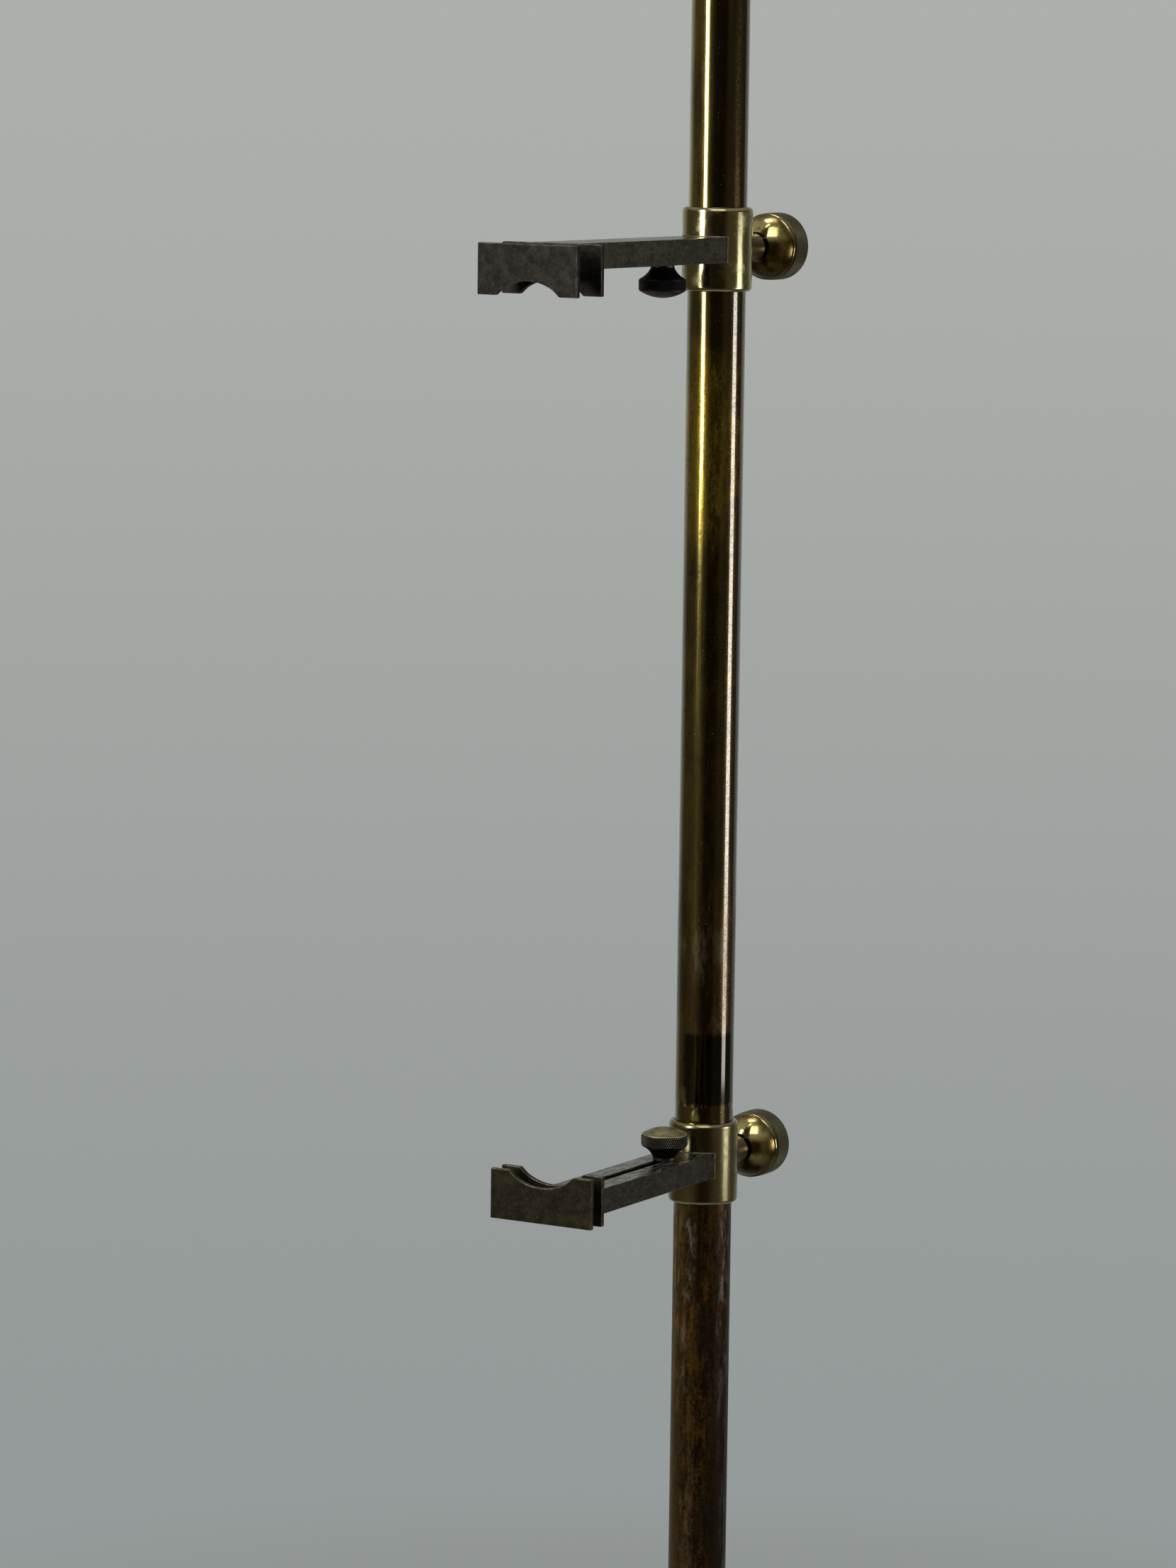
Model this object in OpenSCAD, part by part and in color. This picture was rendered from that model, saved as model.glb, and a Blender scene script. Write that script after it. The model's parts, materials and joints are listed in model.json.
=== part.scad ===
// Retort stand: a brass tube column on a round iron foot, with two sliding clamps.
// Each clamp is a collar with a knurled clamp knob behind it and a slotted arm in front.
// A bar slides in the arm and sets the gap between two notched jaw plates that cradle a tube.
// The upper clamp is the same piece as the lower one, turned upside down.
// Origin: centre of the foot's underside. +Z is up the column and the lower arm points along -Y.

/* [Column] */
// Outside diameter of the column tube
column_d = 19; // [16:0.5:25]
// Wall thickness of the column tube
column_wall = 1.6; // [1:0.1:3]
// Height of the tube's top edge above the bench
column_top_z = 745; // [640:5:1000]
// Height of the top cap's plain rim
cap_rim_h = 10; // [6:0.5:20]
// Rise of the dome on the top cap
cap_dome_h = 4; // [2:0.5:7]
// Height of the groove between the tube and the cap's rim
cap_groove_h = 1; // [0.6:0.1:2]
// Depth of that groove, and of the step round the dome
cap_groove_depth = 0.8; // [0.3:0.1:2]
// Length of the cap's spigot in the tube
cap_spigot = 15; // [8:1:40]
// Length of the foot plug in the tube
plug_len = 30; // [15:1:60]

/* [Foot] */
// Diameter of the foot
foot_d = 190; // [150:5:260]
// Thickness of the foot's rim
foot_rim_h = 14; // [10:1:30]
// Rounding of the rim's upper edge
foot_round = 6; // [2:0.5:9]
// Diameter of the raised step on the foot
step_d = 122; // [112:2:140]
// Height of the raised step
step_h = 4; // [2:0.5:10]
// Diameter of the hub under the column
hub_d = 44; // [42:1:52]
// Radius of the hollow sweep from the step up to the hub
sweep_r = 26; // [15:1:28]
// Thickness of the cloth pad under the foot
pad_cloth_t = 2; // [1:0.5:4]
// Inset of the cloth pad from the foot's edge
pad_cloth_inset = 4; // [1:0.5:10]
// Height of the brass ferrule round the column's lower end
ferrule_h = 16; // [10:1:30]
// Diameter of the ferrule's flange
ferrule_d = 38; // [34:1:41]
// Thickness of the ferrule's flange
flange_h = 3.2; // [2:0.2:5]
// Radius of the bead at the ferrule's top
bead_r = 1.8; // [1:0.1:2.4]
// Diameter of the threaded stud under the column
stud_d = 10; // [6:1:12]
// Clearance round the stud in the foot and the washer
stud_clear = 0.25; // [0.1:0.05:0.8]
// Length of stud that shows below the nut
stud_tail = 2; // [0:0.5:4]
// Width across the flats of the nut on the stud
nut_flats = 17; // [15:1:22]
// Height of the nut
nut_h = 8; // [5:1:12]
// Thickness of the washer above the nut
washer_t = 2; // [1:0.5:3]
// Depth of the pocket under the foot that holds the nut
pocket_depth = 18; // [16:1:24]
// Diameter of the pocket
pocket_d = 30; // [28:1:36]
// Clearance round the washer in the pocket
pocket_clear = 1; // [0.3:0.1:2]

/* [Clamp places] */
// Height of the lower clamp's middle
lower_z = 230; // [100:1:400]
// Height of the upper clamp's middle
upper_z = 528; // [440:1:600]
// Turn of the upper clamp about the column
upper_turn = -2.4; // [-180:0.1:180]
// Gap between the lower clamp's jaw plates
lower_gap = 4.8; // [0.5:0.1:40]
// Gap between the upper clamp's jaw plates
upper_gap = 11.8; // [0.5:0.1:40]

/* [Collar] */
// Height of the collar
collar_h = 27; // [22:0.5:40]
// Wall of the collar outside its liner
collar_wall = 1.25; // [0.8:0.05:4]
// Rounding of the collar's outer edges
collar_round = 1.4; // [0.5:0.1:1.6]
// Height of the inner lip that holds the liner in
lip_h = 2; // [1.5:0.1:4]
// Thickness of the split spring liner
liner_t = 0.5; // [0.4:0.05:1.5]
// Width of the liner's slit
liner_slit = 1.5; // [0.8:0.1:4]

/* [Clamp screw and knob] */
// Diameter of the boss behind the collar
boss_d = 9.1; // [8.4:0.1:9.4]
// Reach of the boss behind the collar
boss_len = 10.6; // [8:0.1:25]
// Space between the boss and the knob's mouth
boss_gap = 2; // [0.5:0.1:5]
// Diameter of the clamp screw
screw_d = 6; // [4.5:0.1:6.4]
// Length of the thrust pad at the screw's tip
thrust_len = 2.2; // [1.6:0.1:4]
// Diameter of the spigot that holds the pad on the screw
spigot_d = 2.4; // [1.6:0.1:3]
// Length of the spigot
spigot_len = 1.2; // [0.8:0.1:1.4]
// Radius of the knob's dome
dome_r = 11; // [10.4:0.1:14]
// Diameter of the mouth in the dome
mouth_d = 9.8; // [9.6:0.1:12]
// Depth of the mouth
mouth_depth = 3.6; // [3.2:0.1:5]
// Distance from the dome's centre forward to its edge
dome_edge = 2.6; // [1:0.1:4]
// Width of the groove between the dome and the rim
knob_groove_w = 0.5; // [0.3:0.1:1.5]
// Depth of that groove
knob_groove_depth = 0.8; // [0.3:0.1:2]
// Diameter of the knurled rim
knob_rim_d = 22; // [20.8:0.2:30]
// Width of the knurled rim
knob_rim_w = 7.5; // [4:0.1:12]
// Chamfer on the rim's edges
knob_chamfer = 0.25; // [0.1:0.05:1.5]
// Rise of the knob's back
knob_back_h = 1.2; // [0.5:0.1:3]
// Depth of the screw's seat in the knob, from the mouth's floor
screw_seat = 7; // [4:0.5:9]

/* [Arm] */
// Width of the arm
arm_w = 17; // [15.6:0.1:19]
// Height of the arm
arm_h = 8.2; // [6.4:0.1:12]
// Length of the arm in front of the collar
arm_len = 84; // [65:1:160]
// Width of the slide bar
bar_w = 12; // [8:0.1:13]
// Height of the slide bar
bar_h = 4; // [3.2:0.1:5]
// Length of the slide bar behind the lock screw
bar_tail = 5.4; // [4:0.1:6]
// Width of the slot that the lock screw runs in
slot_w = 3; // [2.9:0.1:4]

/* [Jaw plates] */
// Width of a jaw plate
jaw_w = 36.7; // [32:0.1:60]
// Height of a jaw plate
jaw_h = 16; // [14:0.1:30]
// Thickness of a jaw plate
jaw_t = 1.8; // [1.2:0.1:4]
// Width of the notch at the plate's edge
notch_w = 23.5; // [20:0.1:28]
// Depth of the notch
notch_depth = 4.6; // [3.6:0.1:5.6]
// Width of the straight lead-in at each end of the notch
lead_w = 2.2; // [1:0.1:3]
// Depth of the straight lead-in
lead_depth = 1.9; // [0.8:0.1:2.2]

/* [Lock screw] */
// Diameter of the lock screw's shank
lock_d = 2.8; // [2:0.1:2.8]
// Space between the shank's tip and the bar's underside
lock_tip_gap = 0.4; // [0.2:0.1:1.5]
// Diameter of the washer under the lock knob
lock_washer_d = 7.6; // [6:0.1:10]
// Thickness of that washer
lock_washer_t = 0.8; // [0.5:0.1:1.5]
// Diameter of the neck above the washer
neck_d = 7.4; // [5:0.1:8]
// Diameter of the neck where it meets the head
neck_top_d = 12.2; // [10:0.1:14]
// Height of the neck
neck_h = 3; // [2:0.1:5]
// Radius of the neck's hollow curve
neck_curve_r = 7; // [4:0.5:20]
// Height of the bevel under the head
bevel_h = 0.8; // [0.5:0.1:2]
// Diameter of the knurled head
head_d = 15.3; // [14.4:0.1:18]
// Height of the knurled rim of the head
head_rim_h = 3.6; // [2:0.1:6]
// Plain bevel between the knurled rim and the cap
head_lip = 0.4; // [0.2:0.1:1]
// Rise of the head's cap
head_cap_h = 2; // [0.8:0.1:4]
// Space between the head and the collar when the jaws are shut
head_clear = 2; // [0.5:0.1:5]

/* [Fits] */
// Clearance on each side of a piece that slides or turns
fit = 0.05; // [0.03:0.01:0.1]
// Gap filled by solder, or by a press fit, on each side
joint_gap = 0.02; // [0.01:0.01:0.05]
// Space between the column and the collar's inner lips
lip_clear = 0.2; // [0.1:0.05:0.3]
// Space left in front of the thrust pad and under the lock washer
seat_gap = 0.1; // [0.05:0.01:0.3]

/* [Hidden] */
$fn = 96;
CUT = 1;
BRASS = [0.72, 0.60, 0.30];
DARK_BRASS = [0.34, 0.26, 0.14];
BRONZE = [0.27, 0.23, 0.20];
BLACK_BRONZE = [0.16, 0.14, 0.12];
STEEL = [0.60, 0.60, 0.58];
IRON = [0.12, 0.12, 0.12];
CLOTH = [0.13, 0.24, 0.17];

column_r = column_d / 2;
column_bore_r = column_r - column_wall;
step_z = pad_cloth_t + foot_rim_h;
sweep_z = step_z + step_h;
hub_z = sweep_z + sweep_r;
stud_r = stud_d / 2;
stud_hole_r = stud_r + stud_clear;
pocket_z = pad_cloth_t + pocket_depth;
nut_top_z = pocket_z - washer_t;
stud_end_z = nut_top_z - nut_h - stud_tail;
cap_rim_z = column_top_z + cap_groove_h;

liner_in_r = column_r + fit;
liner_r = liner_in_r + liner_t;
collar_bore_r = liner_r + fit;
collar_r = collar_bore_r + collar_wall;
lip_r = column_r + lip_clear;
liner_h = collar_h - 2 * (lip_h + seat_gap);

screw_r = screw_d / 2;
screw_hole_r = screw_r + fit;
boss_end = collar_r + boss_len;
thrust_y = liner_r + seat_gap;
screw_y = thrust_y + thrust_len;
mouth_r = mouth_d / 2;
mouth_y = boss_end + boss_gap;
mouth_floor_y = mouth_y + mouth_depth;
screw_end_y = mouth_floor_y + screw_seat;
dome_y = mouth_y + sqrt(dome_r * dome_r - mouth_r * mouth_r);
dome_edge_y = dome_y - dome_edge;
dome_edge_r = sqrt(dome_r * dome_r - dome_edge * dome_edge);
rim_y = dome_edge_y + knob_groove_w;
knob_back_y = rim_y + knob_rim_w;

arm_end = collar_r + arm_len;
channel_w = bar_w + 2 * fit;
channel_h = bar_h + 2 * fit;
head_r = head_d / 2;
lock_r = lock_d / 2;
lock_hole_r = lock_r + fit;
lock_shut_y = collar_r + head_clear + head_r;
tail_shut_y = lock_shut_y - bar_tail;
channel_end = tail_shut_y - seat_gap;
slot_end = lock_shut_y - slot_w / 2;
lock_seat_z = arm_h / 2 + seat_gap;
neck_z = lock_seat_z + lock_washer_t;
bevel_z = neck_z + neck_h;
rim_z = bevel_z + bevel_h;
lip_z = rim_z + head_rim_h;
lock_tip_z = lock_tip_gap - bar_h / 2;

arc_half_w = notch_w / 2 - lead_w;
arc_depth = notch_depth - lead_depth;
arc_r = (arc_half_w * arc_half_w + arc_depth * arc_depth) / (2 * arc_depth);
jaw_top = jaw_h - arm_h / 2;

// Puts a clamp piece at the lower clamp's place
module at_lower() {
    translate([0, 0, lower_z]) children();
}

// Puts a clamp piece at the upper clamp's place, upside down
module at_upper() {
    translate([0, 0, upper_z]) rotate([0, 0, upper_turn]) rotate([0, 180, 0]) children();
}

// Puts a piece that is turned about Z on the clamp screw's axis, with its bottom at y
module on_screw_axis(y) {
    translate([0, y, 0]) rotate([-90, 0, 0]) children();
}

// Shallow dome of a given rim radius and rise, standing on z = 0
module cap_of(rim_r, rise) {
    r = (rim_r * rim_r + rise * rise) / (2 * rise);
    intersection() {
        translate([0, 0, rise - r]) sphere(r = r);
        cylinder(r = rim_r, h = rise + CUT);
    }
}

// Disc with a chamfer on both edges
module chamfered_disc(r, h, chamfer) {
    cylinder(r1 = r - chamfer, r2 = r, h = chamfer);
    translate([0, 0, chamfer]) cylinder(r = r, h = h - 2 * chamfer);
    translate([0, 0, h - chamfer]) cylinder(r1 = r, r2 = r - chamfer, h = chamfer);
}

// Half section of a ring with rounded outer edges, centred on y = 0
module rounded_ring_section(in_r, out_r, h, round) {
    translate([in_r, -h / 2]) square([out_r - round - in_r, h]);
    translate([in_r, round - h / 2]) square([out_r - in_r, h - 2 * round]);
    for (side = [-1, 1])
        translate([out_r - round, side * (h / 2 - round)]) intersection() {
            circle(r = round);
            translate([0, -round]) square([round, 2 * round]);
        }
}

// Iron foot: rounded rim, raised step and a hollow sweep up to the hub
module foot_casting() {
    foot_r = foot_d / 2;
    hub_r = hub_d / 2;
    color(IRON) difference() {
        rotate_extrude() difference() {
            union() {
                translate([0, pad_cloth_t]) square([foot_r, foot_rim_h - foot_round]);
                translate([0, pad_cloth_t]) square([foot_r - foot_round, foot_rim_h]);
                translate([foot_r - foot_round, step_z - foot_round]) circle(r = foot_round);
                translate([0, step_z]) square([step_d / 2, step_h]);
                translate([0, sweep_z]) square([hub_r + sweep_r, sweep_r]);
            }
            translate([hub_r + sweep_r, hub_z]) circle(r = sweep_r);
        }
        translate([0, 0, pad_cloth_t - CUT]) cylinder(r = stud_hole_r, h = hub_z);
        translate([0, 0, pad_cloth_t - CUT]) cylinder(d = pocket_d, h = pocket_depth + CUT);
    }
}

// Cloth pad glued under the foot
module foot_cloth() {
    color(CLOTH) cylinder(r = foot_d / 2 - pad_cloth_inset, h = pad_cloth_t);
}

// Turned ferrule on the hub: flange, hollow neck and a bead at the top
module foot_ferrule() {
    in_r = column_r + joint_gap;
    neck_r = column_r + 2 * bead_r;
    hollow_r = ferrule_d / 2 - neck_r;
    color(BRASS) translate([0, 0, hub_z]) rotate_extrude() {
        difference() {
            translate([in_r, 0]) square([ferrule_d / 2 - in_r, flange_h + hollow_r]);
            translate([ferrule_d / 2, flange_h + hollow_r]) circle(r = hollow_r);
        }
        translate([in_r, 0]) square([neck_r - in_r, ferrule_h - bead_r]);
        translate([in_r, ferrule_h - 2 * bead_r]) square([neck_r - in_r, 2 * bead_r]);
        translate([neck_r, ferrule_h - bead_r]) circle(r = bead_r);
    }
}

// Brass tube that the clamps slide on
module column_tube() {
    color(DARK_BRASS) translate([0, 0, hub_z]) difference() {
        cylinder(r = column_r, h = column_top_z - hub_z);
        translate([0, 0, -CUT]) cylinder(r = column_bore_r, h = column_top_z - hub_z + 2 * CUT);
    }
}

// Plug soldered into the tube's lower end, with the stud that goes through the foot
module foot_plug() {
    color(BRASS) {
        translate([0, 0, hub_z]) cylinder(r = column_bore_r - joint_gap, h = plug_len);
        translate([0, 0, stud_end_z]) cylinder(r = stud_r, h = hub_z - stud_end_z + CUT);
    }
}

// Washer between the foot and the nut
module foot_washer() {
    color(STEEL) translate([0, 0, nut_top_z]) difference() {
        cylinder(r = pocket_d / 2 - pocket_clear, h = washer_t);
        translate([0, 0, -CUT]) cylinder(r = stud_hole_r, h = washer_t + 2 * CUT);
    }
}

// Hexagon nut that draws the column down on the foot
module foot_nut() {
    color(STEEL) translate([0, 0, nut_top_z - nut_h]) difference() {
        cylinder(d = nut_flats / cos(30), h = nut_h, $fn = 6);
        translate([0, 0, -CUT]) cylinder(r = stud_r + fit, h = nut_h + 2 * CUT);
    }
}

// Cap pressed into the tube's top, no wider than the tube so that clamps go on over it
module top_cap() {
    color(BRASS) {
        translate([0, 0, column_top_z - cap_spigot]) cylinder(r = column_bore_r - joint_gap, h = cap_spigot);
        translate([0, 0, column_top_z]) cylinder(r = column_r - cap_groove_depth, h = cap_groove_h);
        translate([0, 0, cap_rim_z]) cylinder(r = column_r, h = cap_rim_h);
        translate([0, 0, cap_rim_z + cap_rim_h]) cap_of(column_r - cap_groove_depth, cap_dome_h);
    }
}

// Split spring sleeve inside the collar, which spreads the clamp screw's pressure
module liner() {
    color(BRASS) difference() {
        cylinder(r = liner_r, h = liner_h, center = true);
        cylinder(r = liner_in_r, h = liner_h + 2 * CUT, center = true);
        translate([0, -liner_slit / 2, -liner_h]) cube([liner_r + CUT, liner_slit, 2 * liner_h]);
    }
}

// Sleeve collar with rounded edges and an inner lip at each end
module collar() {
    color(BRASS) difference() {
        rotate_extrude() difference() {
            rounded_ring_section(lip_r, collar_r, collar_h, collar_round);
            translate([0, -collar_h / 2 + lip_h]) square([collar_bore_r, collar_h - 2 * lip_h]);
        }
        on_screw_axis(0) cylinder(r = screw_hole_r, h = collar_r + CUT);
    }
}

// Threaded boss soldered to the back of the collar
module boss() {
    color(BRASS) difference() {
        on_screw_axis(0) cylinder(d = boss_d, h = boss_end);
        cylinder(r = collar_r + joint_gap, h = collar_h, center = true);
        on_screw_axis(0) cylinder(r = screw_hole_r, h = boss_end + CUT);
    }
}

// Pad at the screw's tip, which presses on the liner without turning
module thrust_pad() {
    color(BRASS) difference() {
        on_screw_axis(thrust_y) cylinder(r = screw_r, h = thrust_len);
        on_screw_axis(screw_y - spigot_len - fit) cylinder(r = spigot_d / 2 + fit, h = spigot_len + CUT);
    }
}

// Clamp screw with the spigot that carries the thrust pad
module clamp_screw() {
    color(STEEL) {
        on_screw_axis(screw_y) cylinder(r = screw_r, h = screw_end_y - screw_y);
        on_screw_axis(screw_y - spigot_len) cylinder(d = spigot_d, h = spigot_len + CUT);
    }
}

// Clamp knob: a dome towards the collar, a groove and a broad knurled rim
module clamp_knob() {
    rim_r = knob_rim_d / 2;
    color(BRASS) difference() {
        union() {
            intersection() {
                on_screw_axis(dome_y) sphere(r = dome_r);
                on_screw_axis(mouth_y) cylinder(r = dome_r + CUT, h = dome_edge_y - mouth_y);
            }
            on_screw_axis(dome_edge_y - CUT) cylinder(r = dome_edge_r - knob_groove_depth, h = knob_groove_w + 2 * CUT);
            on_screw_axis(rim_y) chamfered_disc(rim_r, knob_rim_w, knob_chamfer);
            on_screw_axis(knob_back_y) cap_of(rim_r - 2 * knob_chamfer, knob_back_h);
        }
        on_screw_axis(mouth_y - CUT) cylinder(r = mouth_r, h = mouth_depth + CUT);
        on_screw_axis(mouth_y) cylinder(r = screw_r + joint_gap, h = screw_end_y - mouth_y);
    }
}

// Arm coped to the collar, with a channel for the slide bar and a slot for the lock screw
module arm() {
    channel_len = arm_end - channel_end;
    color(BRONZE) difference() {
        translate([-arm_w / 2, -arm_end, -arm_h / 2]) cube([arm_w, arm_end, arm_h]);
        cylinder(r = collar_r + joint_gap, h = arm_h + 2 * CUT, center = true);
        translate([-channel_w / 2, -arm_end - CUT, -channel_h / 2]) cube([channel_w, channel_len + CUT, channel_h]);
        translate([-slot_w / 2, -arm_end - CUT, 0]) cube([slot_w, arm_end - slot_end - slot_w / 2 + CUT, arm_h]);
        translate([0, -slot_end - slot_w / 2, 0]) cylinder(d = slot_w, h = arm_h);
    }
}

// Jaw plate with a round notch and straight lead-ins, its outer face towards -Y at y = 0
module jaw_plate() {
    notch_floor = jaw_top - notch_depth;
    arc_top = jaw_top - lead_depth;
    rotate([90, 0, 0]) linear_extrude(height = jaw_t) difference() {
        translate([-jaw_w / 2, -arm_h / 2]) square([jaw_w, jaw_h]);
        polygon([
            [-arc_half_w, arc_top], [arc_half_w, arc_top], [notch_w / 2, jaw_top],
            [notch_w / 2, jaw_top + CUT], [-notch_w / 2, jaw_top + CUT], [-notch_w / 2, jaw_top]
        ]);
        intersection() {
            translate([0, notch_floor + arc_r]) circle(r = arc_r);
            translate([-arc_half_w, notch_floor - CUT]) square([2 * arc_half_w, arc_depth + CUT + lead_depth / 2]);
        }
    }
}

// Fixed jaw soldered to the arm's end, with the window that the slide bar passes through
module rear_jaw() {
    color(BRONZE) difference() {
        translate([0, -arm_end, 0]) jaw_plate();
        translate([-channel_w / 2, -arm_end - jaw_t - CUT, -channel_h / 2]) cube([channel_w, jaw_t + 2 * CUT, channel_h]);
    }
}

// Sliding jaw on the end of the slide bar
module front_jaw(gap) {
    color(BRONZE) translate([0, -arm_end - jaw_t - gap, 0]) jaw_plate();
}

// Bar that slides in the arm, drilled for the lock screw
module slide_bar(gap) {
    head_y = arm_end + jaw_t + gap;
    tail_y = tail_shut_y + gap;
    color(BRONZE) difference() {
        translate([-bar_w / 2, -head_y, -bar_h / 2]) cube([bar_w, head_y - tail_y, bar_h]);
        translate([0, -lock_shut_y - gap, 0]) cylinder(r = lock_hole_r, h = bar_h + CUT, center = true);
    }
}

// Washer under the lock knob, which bears on the arm beside the slot
module lock_washer(gap) {
    color(BRASS) translate([0, -lock_shut_y - gap, lock_seat_z]) difference() {
        cylinder(d = lock_washer_d, h = lock_washer_t);
        translate([0, 0, -CUT]) cylinder(r = lock_hole_r, h = lock_washer_t + 2 * CUT);
    }
}

// Lock screw from the slide bar up through the slot into the knob
module lock_screw(gap) {
    color(STEEL) translate([0, -lock_shut_y - gap, lock_tip_z]) cylinder(r = lock_r, h = rim_z - lock_tip_z);
}

// Lock knob: hollow neck, bevel, knurled rim, lip and a domed cap
module lock_knob(gap) {
    neck_r = neck_d / 2;
    neck_top_r = neck_top_d / 2;
    spread = neck_top_r - neck_r;
    chord = norm([spread, neck_h]);
    offset_r = sqrt(neck_curve_r * neck_curve_r - chord * chord / 4) / chord;
    color(BLACK_BRONZE) translate([0, -lock_shut_y - gap, 0]) difference() {
        union() {
            translate([0, 0, neck_z]) rotate_extrude() difference() {
                polygon([[0, 0], [neck_r, 0], [neck_top_r, neck_h], [0, neck_h]]);
                translate([neck_r + spread / 2 + offset_r * neck_h, neck_h / 2 - offset_r * spread])
                    circle(r = neck_curve_r);
            }
            translate([0, 0, bevel_z]) cylinder(r1 = neck_top_r, r2 = head_r, h = bevel_h);
            translate([0, 0, rim_z]) cylinder(r = head_r, h = head_rim_h);
            translate([0, 0, lip_z]) cylinder(r1 = head_r, r2 = head_r - head_lip, h = head_lip);
            translate([0, 0, lip_z + head_lip]) cap_of(head_r - head_lip, head_cap_h);
        }
        translate([0, 0, neck_z - CUT]) cylinder(r = lock_r + joint_gap, h = rim_z - neck_z + CUT);
    }
}

foot_casting();
foot_cloth();
foot_ferrule();
column_tube();
foot_plug();
foot_washer();
foot_nut();
top_cap();
at_lower() liner();  // lower_liner
at_lower() collar();  // lower_collar
at_lower() boss();  // lower_boss
at_lower() arm();  // lower_arm
at_lower() rear_jaw();  // lower_rear_jaw
at_lower() thrust_pad();  // lower_thrust_pad
at_lower() clamp_screw();  // lower_clamp_screw
at_lower() clamp_knob();  // lower_clamp_knob
at_lower() slide_bar(lower_gap);  // lower_slide_bar
at_lower() front_jaw(lower_gap);  // lower_front_jaw
at_lower() lock_washer(lower_gap);  // lower_lock_washer
at_lower() lock_screw(lower_gap);  // lower_lock_screw
at_lower() lock_knob(lower_gap);  // lower_lock_knob
at_upper() liner();  // upper_liner
at_upper() collar();  // upper_collar
at_upper() boss();  // upper_boss
at_upper() arm();  // upper_arm
at_upper() rear_jaw();  // upper_rear_jaw
at_upper() thrust_pad();  // upper_thrust_pad
at_upper() clamp_screw();  // upper_clamp_screw
at_upper() clamp_knob();  // upper_clamp_knob
at_upper() slide_bar(upper_gap);  // upper_slide_bar
at_upper() front_jaw(upper_gap);  // upper_front_jaw
at_upper() lock_washer(upper_gap);  // upper_lock_washer
at_upper() lock_screw(upper_gap);  // upper_lock_screw
at_upper() lock_knob(upper_gap);  // upper_lock_knob
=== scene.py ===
"""Dresses the retort stand: old brass, dark bronze jaws, knurled knobs, a plain floor and soft light.

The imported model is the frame. Objects are in metres, +Z up the column, with the lower arm along -Y.
Sizes of turned pieces are written in millimetres and scaled when the mesh is made.
"""

from __future__ import annotations

import json
import logging
import math
from dataclasses import dataclass, replace
from enum import Enum
from typing import Any, Callable, Iterable, Mapping, Union

import bmesh
import bpy
from mathutils import Euler, Matrix, Vector

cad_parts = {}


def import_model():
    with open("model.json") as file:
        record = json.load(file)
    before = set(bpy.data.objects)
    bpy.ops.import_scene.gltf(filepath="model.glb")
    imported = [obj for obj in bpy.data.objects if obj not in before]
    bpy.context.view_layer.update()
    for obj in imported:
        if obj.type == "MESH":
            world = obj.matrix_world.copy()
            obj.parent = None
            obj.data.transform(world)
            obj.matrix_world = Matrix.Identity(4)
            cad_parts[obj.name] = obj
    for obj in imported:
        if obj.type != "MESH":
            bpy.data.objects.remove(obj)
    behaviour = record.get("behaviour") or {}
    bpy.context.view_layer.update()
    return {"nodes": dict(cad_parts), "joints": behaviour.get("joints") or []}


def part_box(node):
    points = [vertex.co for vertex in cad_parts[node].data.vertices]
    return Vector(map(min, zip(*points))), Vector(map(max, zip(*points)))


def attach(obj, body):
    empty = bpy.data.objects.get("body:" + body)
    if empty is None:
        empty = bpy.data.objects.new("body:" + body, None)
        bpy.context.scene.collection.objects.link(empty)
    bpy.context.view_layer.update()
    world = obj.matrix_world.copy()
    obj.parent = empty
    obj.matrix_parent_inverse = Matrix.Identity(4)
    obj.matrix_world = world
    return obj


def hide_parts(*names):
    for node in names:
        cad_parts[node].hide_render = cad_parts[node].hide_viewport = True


LOG = logging.getLogger("retort_stand")
MM = 0.001
WORN = "worn_edge"

Triple = tuple[float, float, float]
Span = tuple[float, float]
Colour = Triple
Settings = Mapping[str, Any]


def toned(colour: Colour, gain: float) -> Colour:
    """The same hue, brighter or darker by a gain."""
    return tuple(gain * channel for channel in colour)


class Side(Enum):
    """The two clamps on the column, named as their nodes are."""

    LOWER = "lower"
    UPPER = "upper"


@dataclass(frozen=True)
class Placement:
    """Where a piece's own axes sit in the stand.

    Attributes:
        height: Height of the piece's origin above the bench, in metres.
        turn: Turn about the column, in radians.
        upside_down: Whether the piece is turned over about its own Y axis.
    """

    height: float = 0.0
    turn: float = 0.0
    upside_down: bool = False

    @property
    def rotation(self) -> Triple:
        """XYZ Euler angles of the piece's axes."""
        return (0.0, math.pi if self.upside_down else 0.0, self.turn)

    @property
    def location(self) -> Triple:
        """Origin of the piece's axes."""
        return (0.0, 0.0, self.height)

    def matrix(self) -> Matrix:
        """Transform from the piece's own axes, in millimetres, to the stand's frame in metres."""
        turned = Euler(self.rotation, "XYZ").to_matrix().to_4x4()
        return Matrix.Translation(self.location) @ turned @ Matrix.Scale(MM, 4)


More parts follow.
